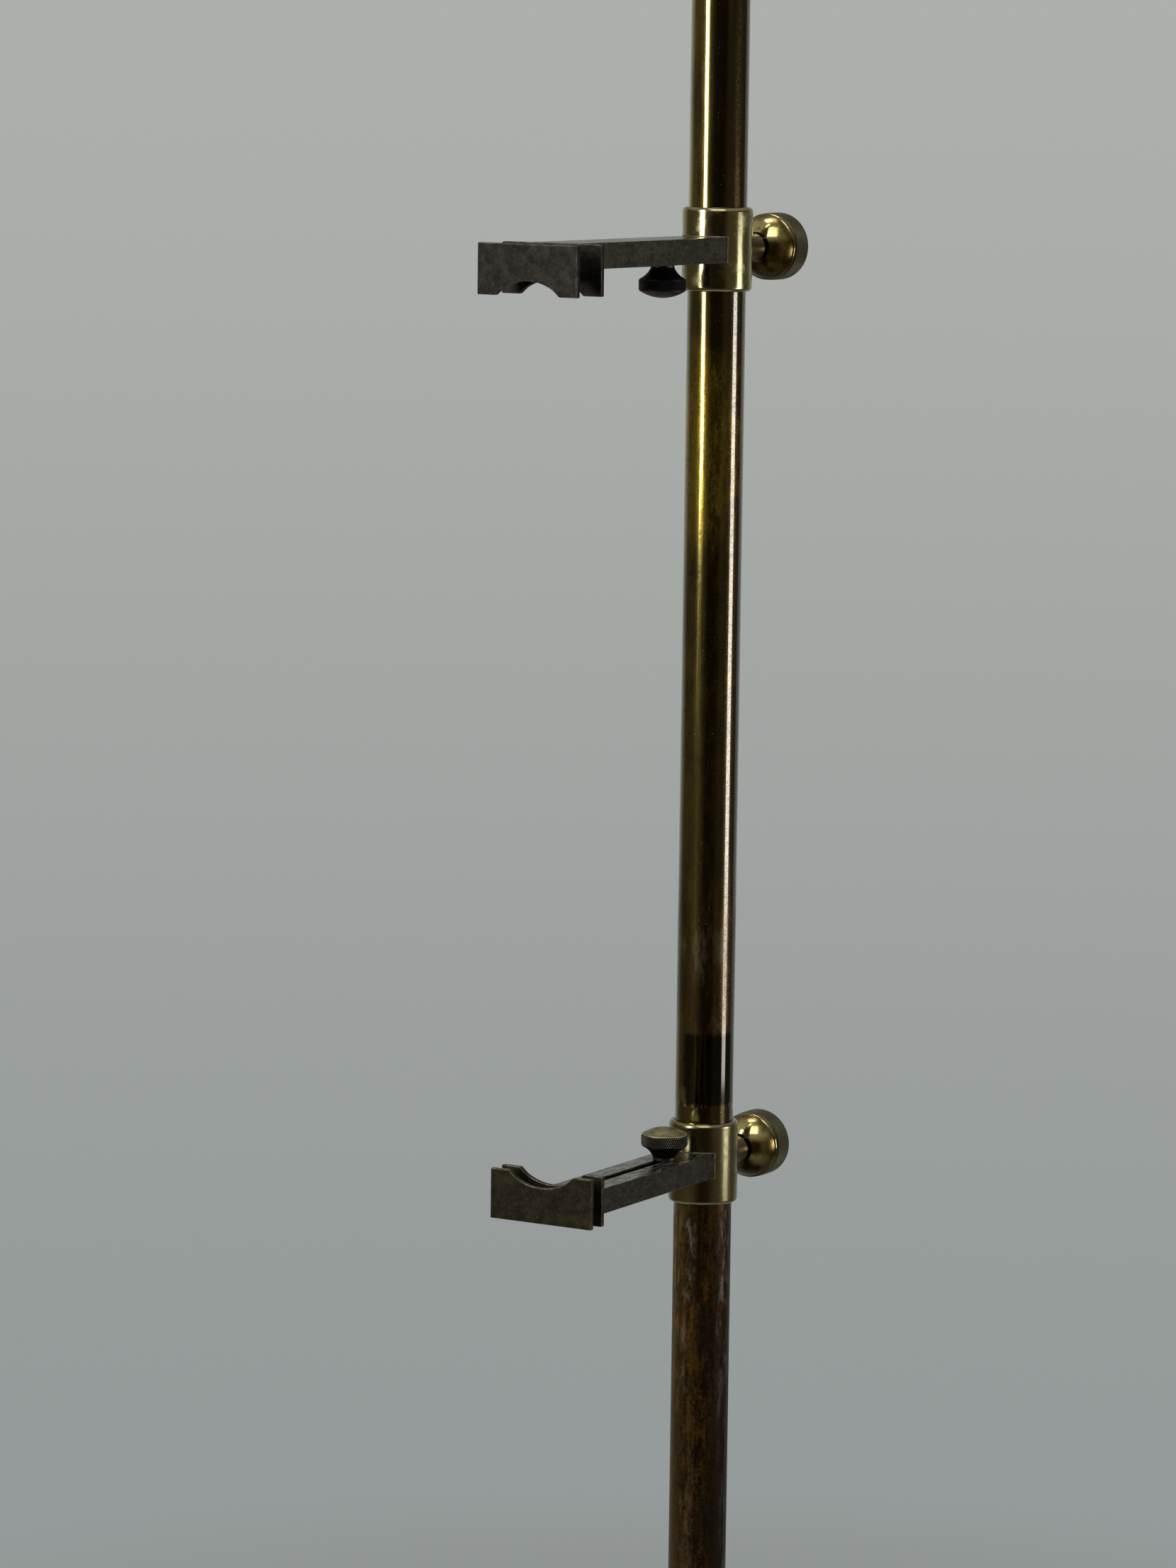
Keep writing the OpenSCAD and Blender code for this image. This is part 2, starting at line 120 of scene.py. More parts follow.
class Field:
    """One output socket of a shader node. Arithmetic on values adds Math nodes."""

    def __init__(self, graph: "Graph", socket: bpy.types.NodeSocket) -> None:
        """Keeps the graph that the socket belongs to."""
        self.graph = graph
        self.socket = socket

    def math(self, operation: str, first: "Input", second: "Input" = 0.0) -> "Field":
        """Adds one Math node.

        Args:
            operation: The node's operation.
            first: Its first value.
            second: Its second value, where it has one.

        Returns:
            The node's output.
        """
        return self.graph.node("Math", {"operation": operation}, {0: first, 1: second})

    def __add__(self, other: "Input") -> "Field":
        """Sum."""
        return self.math("ADD", self, other)

    def __radd__(self, other: "Input") -> "Field":
        """Sum with a number on the left."""
        return self.math("ADD", other, self)

    def __sub__(self, other: "Input") -> "Field":
        """Difference."""
        return self.math("SUBTRACT", self, other)

    def __rsub__(self, other: "Input") -> "Field":
        """Difference with a number on the left."""
        return self.math("SUBTRACT", other, self)

    def __mul__(self, other: "Input") -> "Field":
        """Product."""
        return self.math("MULTIPLY", self, other)

    def __rmul__(self, other: "Input") -> "Field":
        """Product with a number on the left."""
        return self.math("MULTIPLY", other, self)

    def __abs__(self) -> "Field":
        """Size without its sign."""
        return self.math("ABSOLUTE", self)

    def above(self, low: float, high: float) -> "Field":
        """Smooth step from 0 at low to 1 at high."""
        sockets = {"Value": self, "From Min": low, "From Max": high}
        return self.graph.node("MapRange", {"interpolation_type": "SMOOTHSTEP"}, sockets)

    def between(self, low: float, high: float, soft: float) -> "Field":
        """Smooth window that is 1 between low and high and falls off over soft."""
        return self.above(low - soft, low + soft) * (1.0 - self.above(high - soft, high + soft))

    def largest(self, other: "Input") -> "Field":
        """Larger of two values."""
        return self.math("MAXIMUM", self, other)


Input = Union[Field, float, int, tuple]


class Graph:
    """Node tree of one material or of the world, built from wrapped sockets."""

    def __init__(self, tree: bpy.types.NodeTree) -> None:
        """Starts from an empty tree."""
        self.tree = tree
        tree.nodes.clear()

    def node(
        self,
        kind: str,
        settings: Settings | None = None,
        sockets: Mapping[Any, Input] | None = None,
        out: int | str = 0,
    ) -> Field:
        """Adds any node.

        Args:
            kind: Node type without its ShaderNode prefix.
            settings: The node's own settings, which are set before its sockets.
            sockets: Values or links of its input sockets, by name or number.
            out: Output socket to return.

        Returns:
            The wrapped output.
        """
        made = self.tree.nodes.new(f"ShaderNode{kind}")
        for name, value in (settings or {}).items():
            setattr(made, name, value)
        for key, value in (sockets or {}).items():
            target = made.inputs[key]
            if isinstance(value, Field):
                self.tree.links.new(value.socket, target)
            elif target.type == "RGBA":
                target.default_value = (*value, 1.0)
            else:
                target.default_value = value
        chosen = made.outputs[out] if len(made.outputs) else None
        return Field(self, chosen)

    def mix(self, first: Input, second: Input, share: Input) -> Field:
        """Mix of two colours.

        Args:
            first: Colour at share 0.
            second: Colour at share 1.
            share: How much of the second colour shows.

        Returns:
            The mixed colour.
        """
        return self.node("Mix", {"data_type": "RGBA"}, {0: share, 6: first, 7: second}, out=2)

    def layers(self, ground: Input, *coats: tuple[Input, Input]) -> Field:
        """Colours that are laid over each other.

        Args:
            ground: Colour at the bottom.
            coats: Colour and share of each coat, from the bottom up.

        Returns:
            The colour on top.
        """
        for tint, share in coats:
            ground = self.mix(ground, tint, share)
        return ground

    def noise(self, spot: Field, scale: float, detail: float, rough: float = 0.55) -> Field:
        """Cloudy value round 0.5, with about scale blobs to the millimetre."""
        sockets = {"Vector": spot, "Scale": scale, "Detail": detail, "Roughness": rough}
        return self.node("TexNoise", None, sockets)

    def stretched(self, spot: Field, scale: Triple, shift: Triple) -> Field:
        """Coordinates that are scaled along each axis and then moved."""
        sockets = {"Vector": spot, "Location": shift, "Scale": scale}
        return self.node("Mapping", {"vector_type": "POINT"}, sockets)

    def streaks(
        self, spot: Field, scale: Triple, detail: float, rough: float, shift: Triple = (0.0, 0.0, 0.0)
    ) -> Field:
        """Noise that is drawn out along an axis, moved by shift so that no two patterns agree."""
        return self.noise(self.stretched(spot, scale, shift), 1.0, detail, rough)

    def attribute(self, name: str) -> Field:
        """Value of a mesh attribute."""
        return self.node("Attribute", {"attribute_name": name}, out="Fac")

    def bump(self, height: Field, depth: float) -> Field:
        """Normal of a relief whose full height is depth millimetres."""
        return self.node("Bump", None, {"Height": height, "Distance": depth * MM, "Strength": 1.0})

    def millimetres(self, place: Placement) -> Field:
        """Object coordinates in a piece's own axes.

        Args:
            place: Where those axes lie in the stand.

        Returns:
            The coordinates in millimetres.
        """
        sockets = {
            "Vector": self.node("TexCoord", out="Object"),
            "Location": place.location,
            "Rotation": place.rotation,
            "Scale": (MM, MM, MM),
        }
        return self.node("Mapping", {"vector_type": "TEXTURE"}, sockets)

    def axis(self, spot: Field, letter: str) -> Field:
        """One coordinate of a vector."""
        return self.node("SeparateXYZ", None, {0: spot}, out=letter)

    def along(self, spot: Field, direction: Triple) -> Field:
        """How far a place lies along a direction."""
        return self.node("VectorMath", {"operation": "DOT_PRODUCT"}, {0: spot, 1: direction}, out="Value")

    def across(self, spot: Field, first: str, second: str) -> Field:
        """Distance from an axis.

        Args:
            spot: The place.
            first: Letter of one coordinate across the axis.
            second: Letter of the other.

        Returns:
            The distance.
        """
        one = self.axis(spot, first)
        two = self.axis(spot, second)
        return one.math("SQRT", one * one + two * two)

    def surface(self, **sockets: Input) -> Field:
        """Principled shader, with underscores for the spaces in socket names."""
        named = {key.replace("_", " "): value for key, value in sockets.items()}
        return self.node("BsdfPrincipled", None, named)


@dataclass(frozen=True)
class Finish:
    """A surface finish. Subclasses say how it is painted.

    Attributes:
        name: Name of the material.
        place: Axes that its pattern follows.
    """

    name: str
    place: Placement = Placement()

    def paint(self, graph: Graph, spot: Field) -> Field:
        """Builds the shader.

        Args:
            graph: Tree to add nodes to.
            spot: Place on the piece in its own axes, in millimetres.

        Returns:
            The shader's output.
        """
        raise NotImplementedError

    def material(self) -> bpy.types.Material:
        """Makes the material once and returns it from then on.

        Returns:
            The material.
        """
        made = bpy.data.materials.get(self.name)
        if made is None:
            made = bpy.data.materials.new(self.name)
            made.use_nodes = True
            graph = Graph(made.node_tree)
            shader = self.paint(graph, graph.millimetres(self.place))
            graph.node("OutputMaterial", None, {"Surface": shader})
        return made


@dataclass(frozen=True)
class TubeMarks:
    """Coordinates, borders and patterns that the parts of the column's finish share.

    Attributes:
        height: Height above the bench.
        drift: Height with a slow wander, for uneven borders.
        ragged: Quick small wander, for ragged borders.
        side: Distance towards the purple side.
        side_drift: That distance with a little of the slow wander.
        streak: Broad streaks along the tube.
        fine: Fine drawing lines along the tube.
        cloud: Large clouds.
        patch: Small drawn-out patches.
        grit: Fine grain.
        low: Where the lacquer is worn, under the lower clamp.
        rubbed: Where the lacquer is thin on the olive side.
        stained: Brown stains in the lacquer.
        spotted: Dark spots in the lacquer.
        dusty: Where dust has dried on the lacquer.
        band: Where the near-black band is.
    """

    height: Field
    drift: Field
    ragged: Field
    side: Field
    side_drift: Field
    streak: Field
    fine: Field
    cloud: Field
    patch: Field
    grit: Field
    low: Field
    rubbed: Field
    stained: Field
    spotted: Field
    dusty: Field
    band: Field


@dataclass(frozen=True)
class ColumnBrass(Finish):
    """Old lacquered brass tube: brown lacquer with streaks, a rubbed stretch and a dark band.

    Attributes:
        rubbed: Heights between which the lacquer is thin and the brass shows.
        mottled: Heights between which the lacquer is stained brown in spots.
        dusty: Heights between which dust has dried on the lacquer.
        band: Heights of the near-black band above the lower clamp.
        worn_below: Height under which the lacquer is streaked with rust and grey.
        bleached_from: Heights over which the bleached edge near the top comes in.
        purple_side: Level direction of the side that has turned purple-brown, where the worn stretch also
            carries painted shade. The other one is olive.
    """

    BROWN = (0.085, 0.058, 0.012)
    GOLD = (0.185, 0.130, 0.026)
    OLIVE = (0.245, 0.205, 0.055)
    BLEACHED = (0.52, 0.45, 0.145)
    PURPLE_BROWN = (0.032, 0.020, 0.013)
    CLOUDED = (0.062, 0.055, 0.022)
    BARE = (0.52, 0.39, 0.045)
    STAIN = (0.215, 0.128, 0.018)
    SPOT = (0.030, 0.019, 0.006)
    DUST = (0.120, 0.082, 0.040)
    SOOT = (0.012, 0.006, 0.002)
    SOOT_WORN = (0.115, 0.058, 0.012)
    SOOT_GREEN = (0.010, 0.009, 0.004)
    SOOT_EDGE = (0.085, 0.060, 0.026)
    # Painted shade on the purple side of the worn stretch.
    SOOT_SHADE = (0.010, 0.0045, 0.0015)
    RUST = (0.48, 0.29, 0.060)
    # Grey bloom, and painted highlight where the window lamps reflect on the worn stretch.
    GREY_BLOOM_AND_HIGHLIGHT = (0.26, 0.245, 0.215)
    BAND_BLACK = (0.010, 0.006, 0.003)
    BAND_STRIPE = (0.170, 0.122, 0.032)
    BAND_EDGE = (0.200, 0.145, 0.052)
    SCRAPED = (0.42, 0.32, 0.17)
    CHIPPED = (0.36, 0.34, 0.30)
    SPECK = (0.34, 0.30, 0.25)

    rubbed: Span = (438.0, 492.0)
    mottled: Span = (290.0, 496.0)
    dusty: Span = (273.0, 318.0)
    band: Span = (249.5, 273.0)
    worn_below: float = 218.0
    bleached_from: Span = (500.0, 545.0)
    purple_side: Triple = (0.8618, 0.5073, 0.0)

    def marks(self, graph: Graph, spot: Field) -> TubeMarks:
        """Lays out the patterns and the borders between the stretches.

        Args:
            graph: Tree to add nodes to.
            spot: Place on the tube, in millimetres.

        Returns:
            The shared patterns.
        """
        height = graph.axis(spot, "Z")
        side = graph.along(spot, self.purple_side)
        wander = (graph.noise(spot, 0.09, 3.0) - 0.5) * 26.0
        ragged = (graph.noise(spot, 0.55, 4.0, 0.65) - 0.5) * 2.4
        drift = height + wander
        cloud = graph.streaks(spot, (0.13, 0.13, 0.05), 5.0, 0.6, (3.0, 7.0, 1.0))
        patch = graph.streaks(spot, (0.50, 0.50, 0.13), 6.0, 0.7, (1.0, 2.0, 8.0))
        grit = graph.noise(spot, 0.85, 5.0, 0.75)
        thinned = drift.between(*self.rubbed, 14.0)
        mottled = drift.between(*self.mottled, 16.0)
        return TubeMarks(
            height=height,
            drift=drift,
            ragged=ragged,
            side=side,
            side_drift=side + 0.12 * wander,
            streak=graph.streaks(spot, (0.34, 0.34, 0.010), 4.0, 0.6),
            fine=graph.streaks(spot, (1.6, 1.6, 0.03), 3.0, 0.6, (9.0, 4.0, 2.0)),
            cloud=cloud,
            patch=patch,
            grit=grit,
            low=1.0 - (height + 0.5 * wander).above(self.worn_below - 8.0, self.worn_below + 8.0),
            rubbed=thinned * (1.0 - (side + 0.2 * wander).above(0.0, 6.0)),
            stained=(0.7 * patch + 0.3 * grit).above(0.46, 0.58) * (0.2 * mottled + 0.8 * thinned),
            spotted=(0.6 * grit + 0.4 * cloud).above(0.48, 0.60) * mottled,
            dusty=drift.between(*self.dusty, 12.0),
            band=(height + ragged).between(*self.band, 0.9),
        )

    def lacquer(self, graph: Graph, marks: TubeMarks) -> Field:
        """Colours the lacquer above the worn stretch, by side and by height.

        Args:
            graph: Tree to add nodes to.
            marks: The shared patterns.

        Returns:
            The colour.
        """
        olive = 1.0 - marks.side_drift.above(-4.0, 3.0)
        greenish = olive * (0.35 + 0.65 * marks.fine.above(0.35, 0.62))
        bleached = (1.0 - marks.side.above(-7.0, -3.5)) * marks.height.above(*self.bleached_from)
        return graph.layers(
            self.BROWN,
            (self.GOLD, marks.streak.above(0.36, 0.66)),
            (self.OLIVE, greenish * 0.8),
            (self.BLEACHED, bleached * (0.35 + 0.60 * marks.fine.above(0.38, 0.58))),
            (self.PURPLE_BROWN, marks.side_drift.above(2.0, 6.5) * 0.85),
            (self.CLOUDED, marks.cloud.above(0.48, 0.66) * 0.6),
            (self.BARE, marks.rubbed * (0.60 + 0.35 * marks.streak.above(0.32, 0.58))),
            (self.STAIN, marks.stained * 0.75),
            (self.SPOT, marks.spotted * 0.70),
            (self.DUST, marks.dusty * (0.35 + 0.6 * marks.patch.above(0.42, 0.62))),
        )

    def soot(self, graph: Graph, marks: TubeMarks) -> Field:
        """Colours the worn stretch under the lower clamp, with painted shade that darkens its purple side,
        most of all low down.

        Args:
            graph: Tree to add nodes to.
            marks: The shared patterns.

        Returns:
            The colour.
        """
        blotch = 0.40 * marks.patch + 0.35 * marks.grit + 0.25 * marks.streak
        edged = 1.0 - (marks.side + 2.0 * marks.ragged).above(-9.0, -4.5)
        # Painted shade: the purple side of the worn stretch is darkened, most of all low down.
        shaded_side = marks.side.above(0.0, 5.0) * (0.88 - 0.35 * marks.drift.above(110.0, 210.0))
        return graph.layers(
            self.SOOT,
            (self.SOOT_WORN, blotch.above(0.42, 0.62)),
            (self.SOOT_GREEN, marks.cloud.above(0.46, 0.58) * (0.85 - 0.5 * marks.grit)),
            (self.SOOT_EDGE, edged * 0.7),
            (self.SOOT_SHADE, shaded_side),
        )

    def blackening(self, graph: Graph, marks: TubeMarks) -> Field:
        """Colours the band above the lower clamp: black, with brass stripes and a scraped edge.

        Args:
            graph: Tree to add nodes to.
            marks: The shared patterns.

        Returns:
            The colour.
        """
        foot = self.band[0]
        stripe = marks.fine.above(0.44, 0.60) * marks.side.between(-4.4, 0.6, 0.8)
        near_foot = (marks.height + 2.0 * marks.ragged).between(foot, foot + 6.0, 0.8)
        scraped = marks.side.between(-8.6, -6.0, 0.5) * near_foot
        return graph.layers(
            self.BAND_BLACK,
            (self.BAND_STRIPE, stripe),
            (self.BAND_EDGE, 1.0 - (marks.side + marks.ragged).above(-7.8, -6.2)),
            (self.SCRAPED, scraped * marks.patch.above(0.40, 0.52)),
        )

    def bloom(self, graph: Graph, spot: Field, marks: TubeMarks) -> Field:
        """Spreads grey over the tube: painted highlight where the two window lamps reflect on the two sides
        of the worn stretch, and a little real bloom elsewhere and in the dust.

        Args:
            graph: Tree to add nodes to.
            spot: Place on the tube, in millimetres.
            marks: The shared patterns.

        Returns:
            The share of grey.
        """
        spread = (0.25 + 0.75 * marks.drift.above(150.0, 200.0)) * marks.low
        # These two sides are where the window lamps reflect: the grey there is a painted highlight.
        sides = marks.side.between(-6.5, -2.5, 1.2).largest(marks.side.above(4.0, 7.0))
        flakes = graph.streaks(spot, (0.22, 0.22, 0.065), 6.0, 0.72, (4.0, 2.0, 6.0))
        return flakes.above(0.50, 0.66) * (0.02 + 0.70 * spread * sides + 0.22 * marks.dusty)

    def paint(self, graph: Graph, spot: Field) -> Field:
        """Lays lacquer, soot with painted shade, rust, grey bloom with painted highlights and the band over
        each other, with specks and pits.

        Args:
            graph: Tree to add nodes to.
            spot: Place on the tube, in millimetres.

        Returns:
            The shader's output.
        """
        marks = self.marks(graph, spot)
        foot = self.band[0]
        clear = 1.0 - marks.band
        # Grey bloom and painted highlight; it also dulls the surface.
        grey = self.bloom(graph, spot, marks)
        rust = marks.fine.above(0.44, 0.58) * marks.patch.above(0.44, 0.58) * marks.low
        rust = rust * marks.drift.above(110.0, 190.0)
        foot_of_band = (marks.height + 2.0 * marks.ragged).between(foot - 0.9, foot + 0.3, 0.5)
        chipped = foot_of_band * marks.patch.above(0.50, 0.60) * 0.55
        specks = graph.noise(spot, 1.6, 2.0, 0.5).above(0.70, 0.75)
        colour = graph.layers(
            self.lacquer(graph, marks),
            (self.soot(graph, marks), marks.low),
            (self.RUST, rust * (0.02 + 0.45 * (1.0 - marks.side.above(-8.6, -5.5)))),
            (self.GREY_BLOOM_AND_HIGHLIGHT, grey),
            (self.blackening(graph, marks), marks.band * 0.96),
            (self.CHIPPED, chipped),
            (self.SPECK, specks * (0.24 - 0.1 * marks.low)),
        )
        dull = grey.largest(specks * 0.6).largest(chipped)
        pitted = graph.noise(spot, 1.5, 3.0, 0.6).above(0.46, 0.62) * marks.side.above(3.0, 6.0) * clear
        rough = 0.12 + 0.08 * marks.fine + 0.30 * dull + 0.22 * marks.low + 0.05 * marks.dusty * clear
        rough = rough + 0.05 * marks.rubbed + 0.12 * pitted + 0.06 * marks.spotted
        coat = (1.0 - dull) * (1.0 - 0.92 * marks.low) * (1.0 - 0.45 * marks.band)
        coat = coat * (1.0 - 0.4 * pitted) * (1.0 - 0.55 * marks.dusty * clear)
        return graph.surface(
            Base_Color=colour,
            Metallic=(1.0 - 0.55 * dull) * (1.0 - 0.55 * marks.low) * (1.0 - 0.22 * marks.stained),
            Roughness=rough,
            Specular_IOR_Level=0.1,
            Coat_Weight=coat,
            Coat_Roughness=0.05,
            Coat_IOR=1.75,
            Normal=graph.bump(0.5 * marks.fine + 0.5 * marks.patch, 0.010),
        )


@dataclass(frozen=True)
class PolishedBrass(Finish):
    """Brass that is kept bright by handling, with clouds of tarnish and small pits.

    Attributes:
        bright: Colour of the clean metal.
        tarnish: Colour of the tarnished clouds.
        haze: Roughness of the clean metal.
        dulling: Roughness that the tarnish adds.
    """

    PIT = (0.05, 0.032, 0.016)

    bright: Colour = (0.430, 0.385, 0.210)
    tarnish: Colour = (0.19, 0.162, 0.078)
    haze: float = 0.17
    dulling: float = 0.08

    def paint(self, graph: Graph, spot: Field) -> Field:
        """Lays tarnish clouds, hairline scratches and pits over the metal.

        Args:
            graph: Tree to add nodes to.
            spot: Place on the piece, in millimetres.

        Returns:
            The shader's output.
        """
        grain = graph.noise(spot, 0.9, 4.0, 0.6)
        hair = graph.streaks(spot, (2.4, 2.4, 0.25), 3.0, 0.7)
        pits = graph.noise(spot, 1.1, 1.0, 0.4).above(0.745, 0.785)
        stain = graph.noise(spot, 0.16, 5.0, 0.62).above(0.46, 0.70)
        colour = graph.layers(
            self.bright,
            (self.tarnish, stain * (0.55 + 0.45 * grain)),
            (self.PIT, pits * 0.85),
        )
        return graph.surface(
            Base_Color=colour,
            Metallic=1.0,
            Roughness=self.haze + self.dulling * stain + 0.05 * grain + 0.35 * pits,
            Normal=graph.bump(0.3 * hair + 0.4 * grain - 0.8 * pits, 0.010),
        )


@dataclass(frozen=True, kw_only=True)
class KnobBrass(Finish):
    """Clamp knob: golden dome with brown patina and a lower half darkened by painted shade, dull olive
    knurl, and painted shade in the groove and the mouth.

    Attributes:
        rim: Distance along the screw's axis at which the knurled rim starts.
        bead: Width of the bead and the groove before the rim.
        groove: Width of the groove alone.
        rim_radius: Radius of the knurl's points.
        mouth_radius: Radius of the mouth.
    """

    GOLD = (0.68, 0.56, 0.21)
    PATINA = (0.085, 0.053, 0.011)
    # Painted shade: darkens the lower half of the dome, standing in for the dark floor that it reflects.
    UNDERSIDE_SHADE = (0.048, 0.028, 0.005)
    BEAD = (0.150, 0.112, 0.040)
    KNURL = (0.300, 0.280, 0.175)
    KNURL_DIRT = (0.085, 0.076, 0.042)
    KNURL_CLOUD = (0.135, 0.120, 0.066)
    # Painted shade in the groove behind the dome.
    GROOVE_SHADE = (0.030, 0.020, 0.008)
    # Painted shade in the mouth's recess.
    MOUTH_SHADE = (0.020, 0.014, 0.008)

    rim: float
    bead: float
    groove: float
    rim_radius: float
    mouth_radius: float

    def paint(self, graph: Graph, spot: Field) -> Field:
        """Lays patina on the dome, painted shade on its lower half, in the groove and in the mouth, and
        dirt in the knurl.

        Args:
            graph: Tree to add nodes to.
            spot: Place on the knob, in millimetres.

        Returns:
            The shader's output.
        """
        along = graph.axis(spot, "Y")
        radius = graph.across(spot, "X", "Z")
        cloud = graph.noise(spot, 0.20, 5.0, 0.62)
        grain = graph.noise(spot, 1.1, 4.0, 0.6)
        bead = self.rim - self.bead
        knurl = along.above(self.rim - 0.3, self.rim + 0.1)
        on_bead = along.above(bead - 0.1, bead + 0.1)
        up = graph.axis(spot, "Z") * (-1.0 if self.place.upside_down else 1.0)
        # Painted shade on the dome's lower half, which faces the floor; the same mask also dulls it along
        # with the patina.
        under = 1.0 - (up + 8.0 * (cloud - 0.5)).above(-7.0, 3.0)
        grime = (along + 7.0 * (cloud - 0.5)).above(self.rim - 7.0, self.rim - 2.6) * (1.0 - on_bead)
        patina = cloud.above(0.48, 0.70).largest(under).largest(grime)
        # Painted shade: the groove behind the dome is darkened.
        groove_shade = along.between(self.rim - self.groove - 0.02, self.rim, 0.06)
        groove_shade = groove_shade * (1.0 - radius.above(self.rim_radius - 0.7, self.rim_radius - 0.4))
        # Painted shade: the recess of the mouth is darkened.
        mouth_shade = 1.0 - radius.above(self.mouth_radius - 0.1, self.mouth_radius + 0.1)
        mouth_shade = mouth_shade * (1.0 - along.above(self.rim - 0.5, self.rim))
        olive = graph.layers(
            self.KNURL,
            (self.KNURL_DIRT, 1.0 - radius.above(self.rim_radius - 0.18, self.rim_radius - 0.02)),
            (self.KNURL_CLOUD, cloud.above(0.44, 0.66) * 0.5),
        )
        colour = graph.layers(
            self.GOLD,
            (self.PATINA, patina * (0.75 + 0.25 * grain)),
            (self.UNDERSIDE_SHADE, under * 0.8),
            (self.BEAD, on_bead * 0.8),
            (olive, knurl),
            (self.GROOVE_SHADE, groove_shade),
            (self.MOUTH_SHADE, mouth_shade),
        )
        return graph.surface(
            Base_Color=colour,
            Metallic=1.0,
            Roughness=0.08 + 0.14 * patina * (1.0 - knurl) + 0.05 * grain + 0.32 * knurl,
            Coat_Weight=(1.0 - patina) * (1.0 - knurl),
            Coat_Roughness=0.06,
            Coat_IOR=1.7,
            Normal=graph.bump(grain + 0.6 * cloud, 0.008),
        )


@dataclass(frozen=True)
class DarkBronze(Finish):
    """Chemically darkened bronze: mottled brown-black with pale specks and rubbed edges.

    Attributes:
        dark: Colour of the darkest patches.
        light: Colour of the lighter patches.
        scuffs: Share of pale scuffing on the upper and lower faces.
        half: Half of the height between those faces.
        specked: Share of pale specks.
        speck_gain: How much brighter than the lighter patches the specks are.
    """

    SCUFF = (0.36, 0.345, 0.31)
    RUBBED_EDGE = (0.28, 0.25, 0.19)

    dark: Colour = (0.040, 0.034, 0.026)
    light: Colour = (0.085, 0.073, 0.055)
    scuffs: float = 0.2
    half: float = 6.0
    specked: float = 0.45
    speck_gain: float = 2.2

    def paint(self, graph: Graph, spot: Field) -> Field:
        """Lays mottling, stains, specks, scuffs and rubbed edges over each other.

        Args:
            graph: Tree to add nodes to.
            spot: Place on the piece, in millimetres.

        Returns:
            The shader's output.
        """
        mottle = graph.noise(spot, 0.30, 6.0, 0.68)
        grain = graph.noise(spot, 1.4, 4.0, 0.6)
        specks = graph.noise(spot, 1.15, 2.0, 0.5).above(0.55, 0.72)
        stains = graph.streaks(spot, (0.12, 0.12, 0.12), 4.0, 0.6, (5.0, 1.0, 3.0))
        scuff = graph.streaks(spot, (0.75, 0.17, 0.75), 5.0, 0.7, (2.0, 6.0, 4.0))
        on_face = abs(graph.axis(spot, "Z")).above(self.half - 0.3, self.half - 0.1)
        edge = graph.attribute(WORN) * (0.35 + 0.65 * mottle.above(0.42, 0.60))
        colour = graph.layers(
            self.dark,
            (self.light, mottle.above(0.34, 0.70)),
            (self.dark, stains.above(0.50, 0.68) * 0.6),
            (toned(self.light, self.speck_gain), specks * self.specked),
            (self.SCUFF, scuff.above(0.44, 0.62) * self.scuffs * (0.06 + 0.94 * on_face)),
            (self.RUBBED_EDGE, edge * 0.32),
        )
        return graph.surface(
            Base_Color=colour,
            Metallic=0.82,
            Roughness=0.36 + 0.16 * mottle + 0.10 * specks - 0.10 * edge - 0.18 * on_face,
            Normal=graph.bump(grain + 0.5 * mottle, 0.016),
        )


@dataclass(frozen=True, kw_only=True)
class LockKnobBronze(Finish):
    """Lock knob: black neck, dark knurl with rubbed points and a smooth cap.

    Attributes:
        rim_low: Height at which the knurl starts, in the clamp's axes.
        rim_high: Height at which the lip of the cap starts.
        rim_radius: Radius of the knurl's points.
        axis_y: Place of the knob's axis along the arm.
        cap: Colour of the cap where it is rubbed.
        points: Colour of the knurl's points and of the lip.
        shade: Colour between the knurl's points.
        cap_dulling: How bright the cap is where it is dulled.
    """

    NECK = (0.010, 0.009, 0.008)

    rim_low: float
    rim_high: float
    rim_radius: float
    axis_y: float
    cap: Colour = (0.255, 0.240, 0.125)
    points: Colour = (0.310, 0.285, 0.215)
    shade: Colour = (0.026, 0.023, 0.017)
    cap_dulling: float = 0.45

    def paint(self, graph: Graph, spot: Field) -> Field:
        """Rubs the blackening off the cap, the lip and the knurl's points.

        Args:
            graph: Tree to add nodes to.
            spot: Place on the knob, in the clamp's axes and in millimetres.

        Returns:
            The shader's output.
        """
        height = graph.axis(spot, "Z")
        radius = graph.across(graph.stretched(spot, (1.0, 1.0, 1.0), (0.0, -self.axis_y, 0.0)), "X", "Y")
        cloud = graph.noise(spot, 0.30, 5.0, 0.62)
        grain = graph.noise(spot, 1.5, 4.0, 0.6)
        on_cap = height.above(self.rim_high - 0.1, self.rim_high + 0.05)
        on_rim = height.above(self.rim_low - 0.1, self.rim_low + 0.1) * (1.0 - on_cap)
        points = on_rim * radius.above(self.rim_radius - 0.17, self.rim_radius - 0.01)
        lip = on_cap * (1.0 - height.above(self.rim_high + 0.25, self.rim_high + 0.5))
        capped = graph.layers(
            self.cap,
            (toned(self.cap, self.cap_dulling), cloud.above(0.44, 0.68)),
            (self.points, lip * 0.7),
        )
        colour = graph.layers(
            self.NECK,
            (self.shade, on_rim),
            (self.points, points * (0.5 + 0.5 * cloud.above(0.35, 0.55))),
            (capped, on_cap),
        )
        return graph.surface(
            Base_Color=colour,
            Metallic=0.85,
            Roughness=0.50 - 0.10 * on_cap + 0.10 * cloud,
            Normal=graph.bump(grain, 0.010),
        )


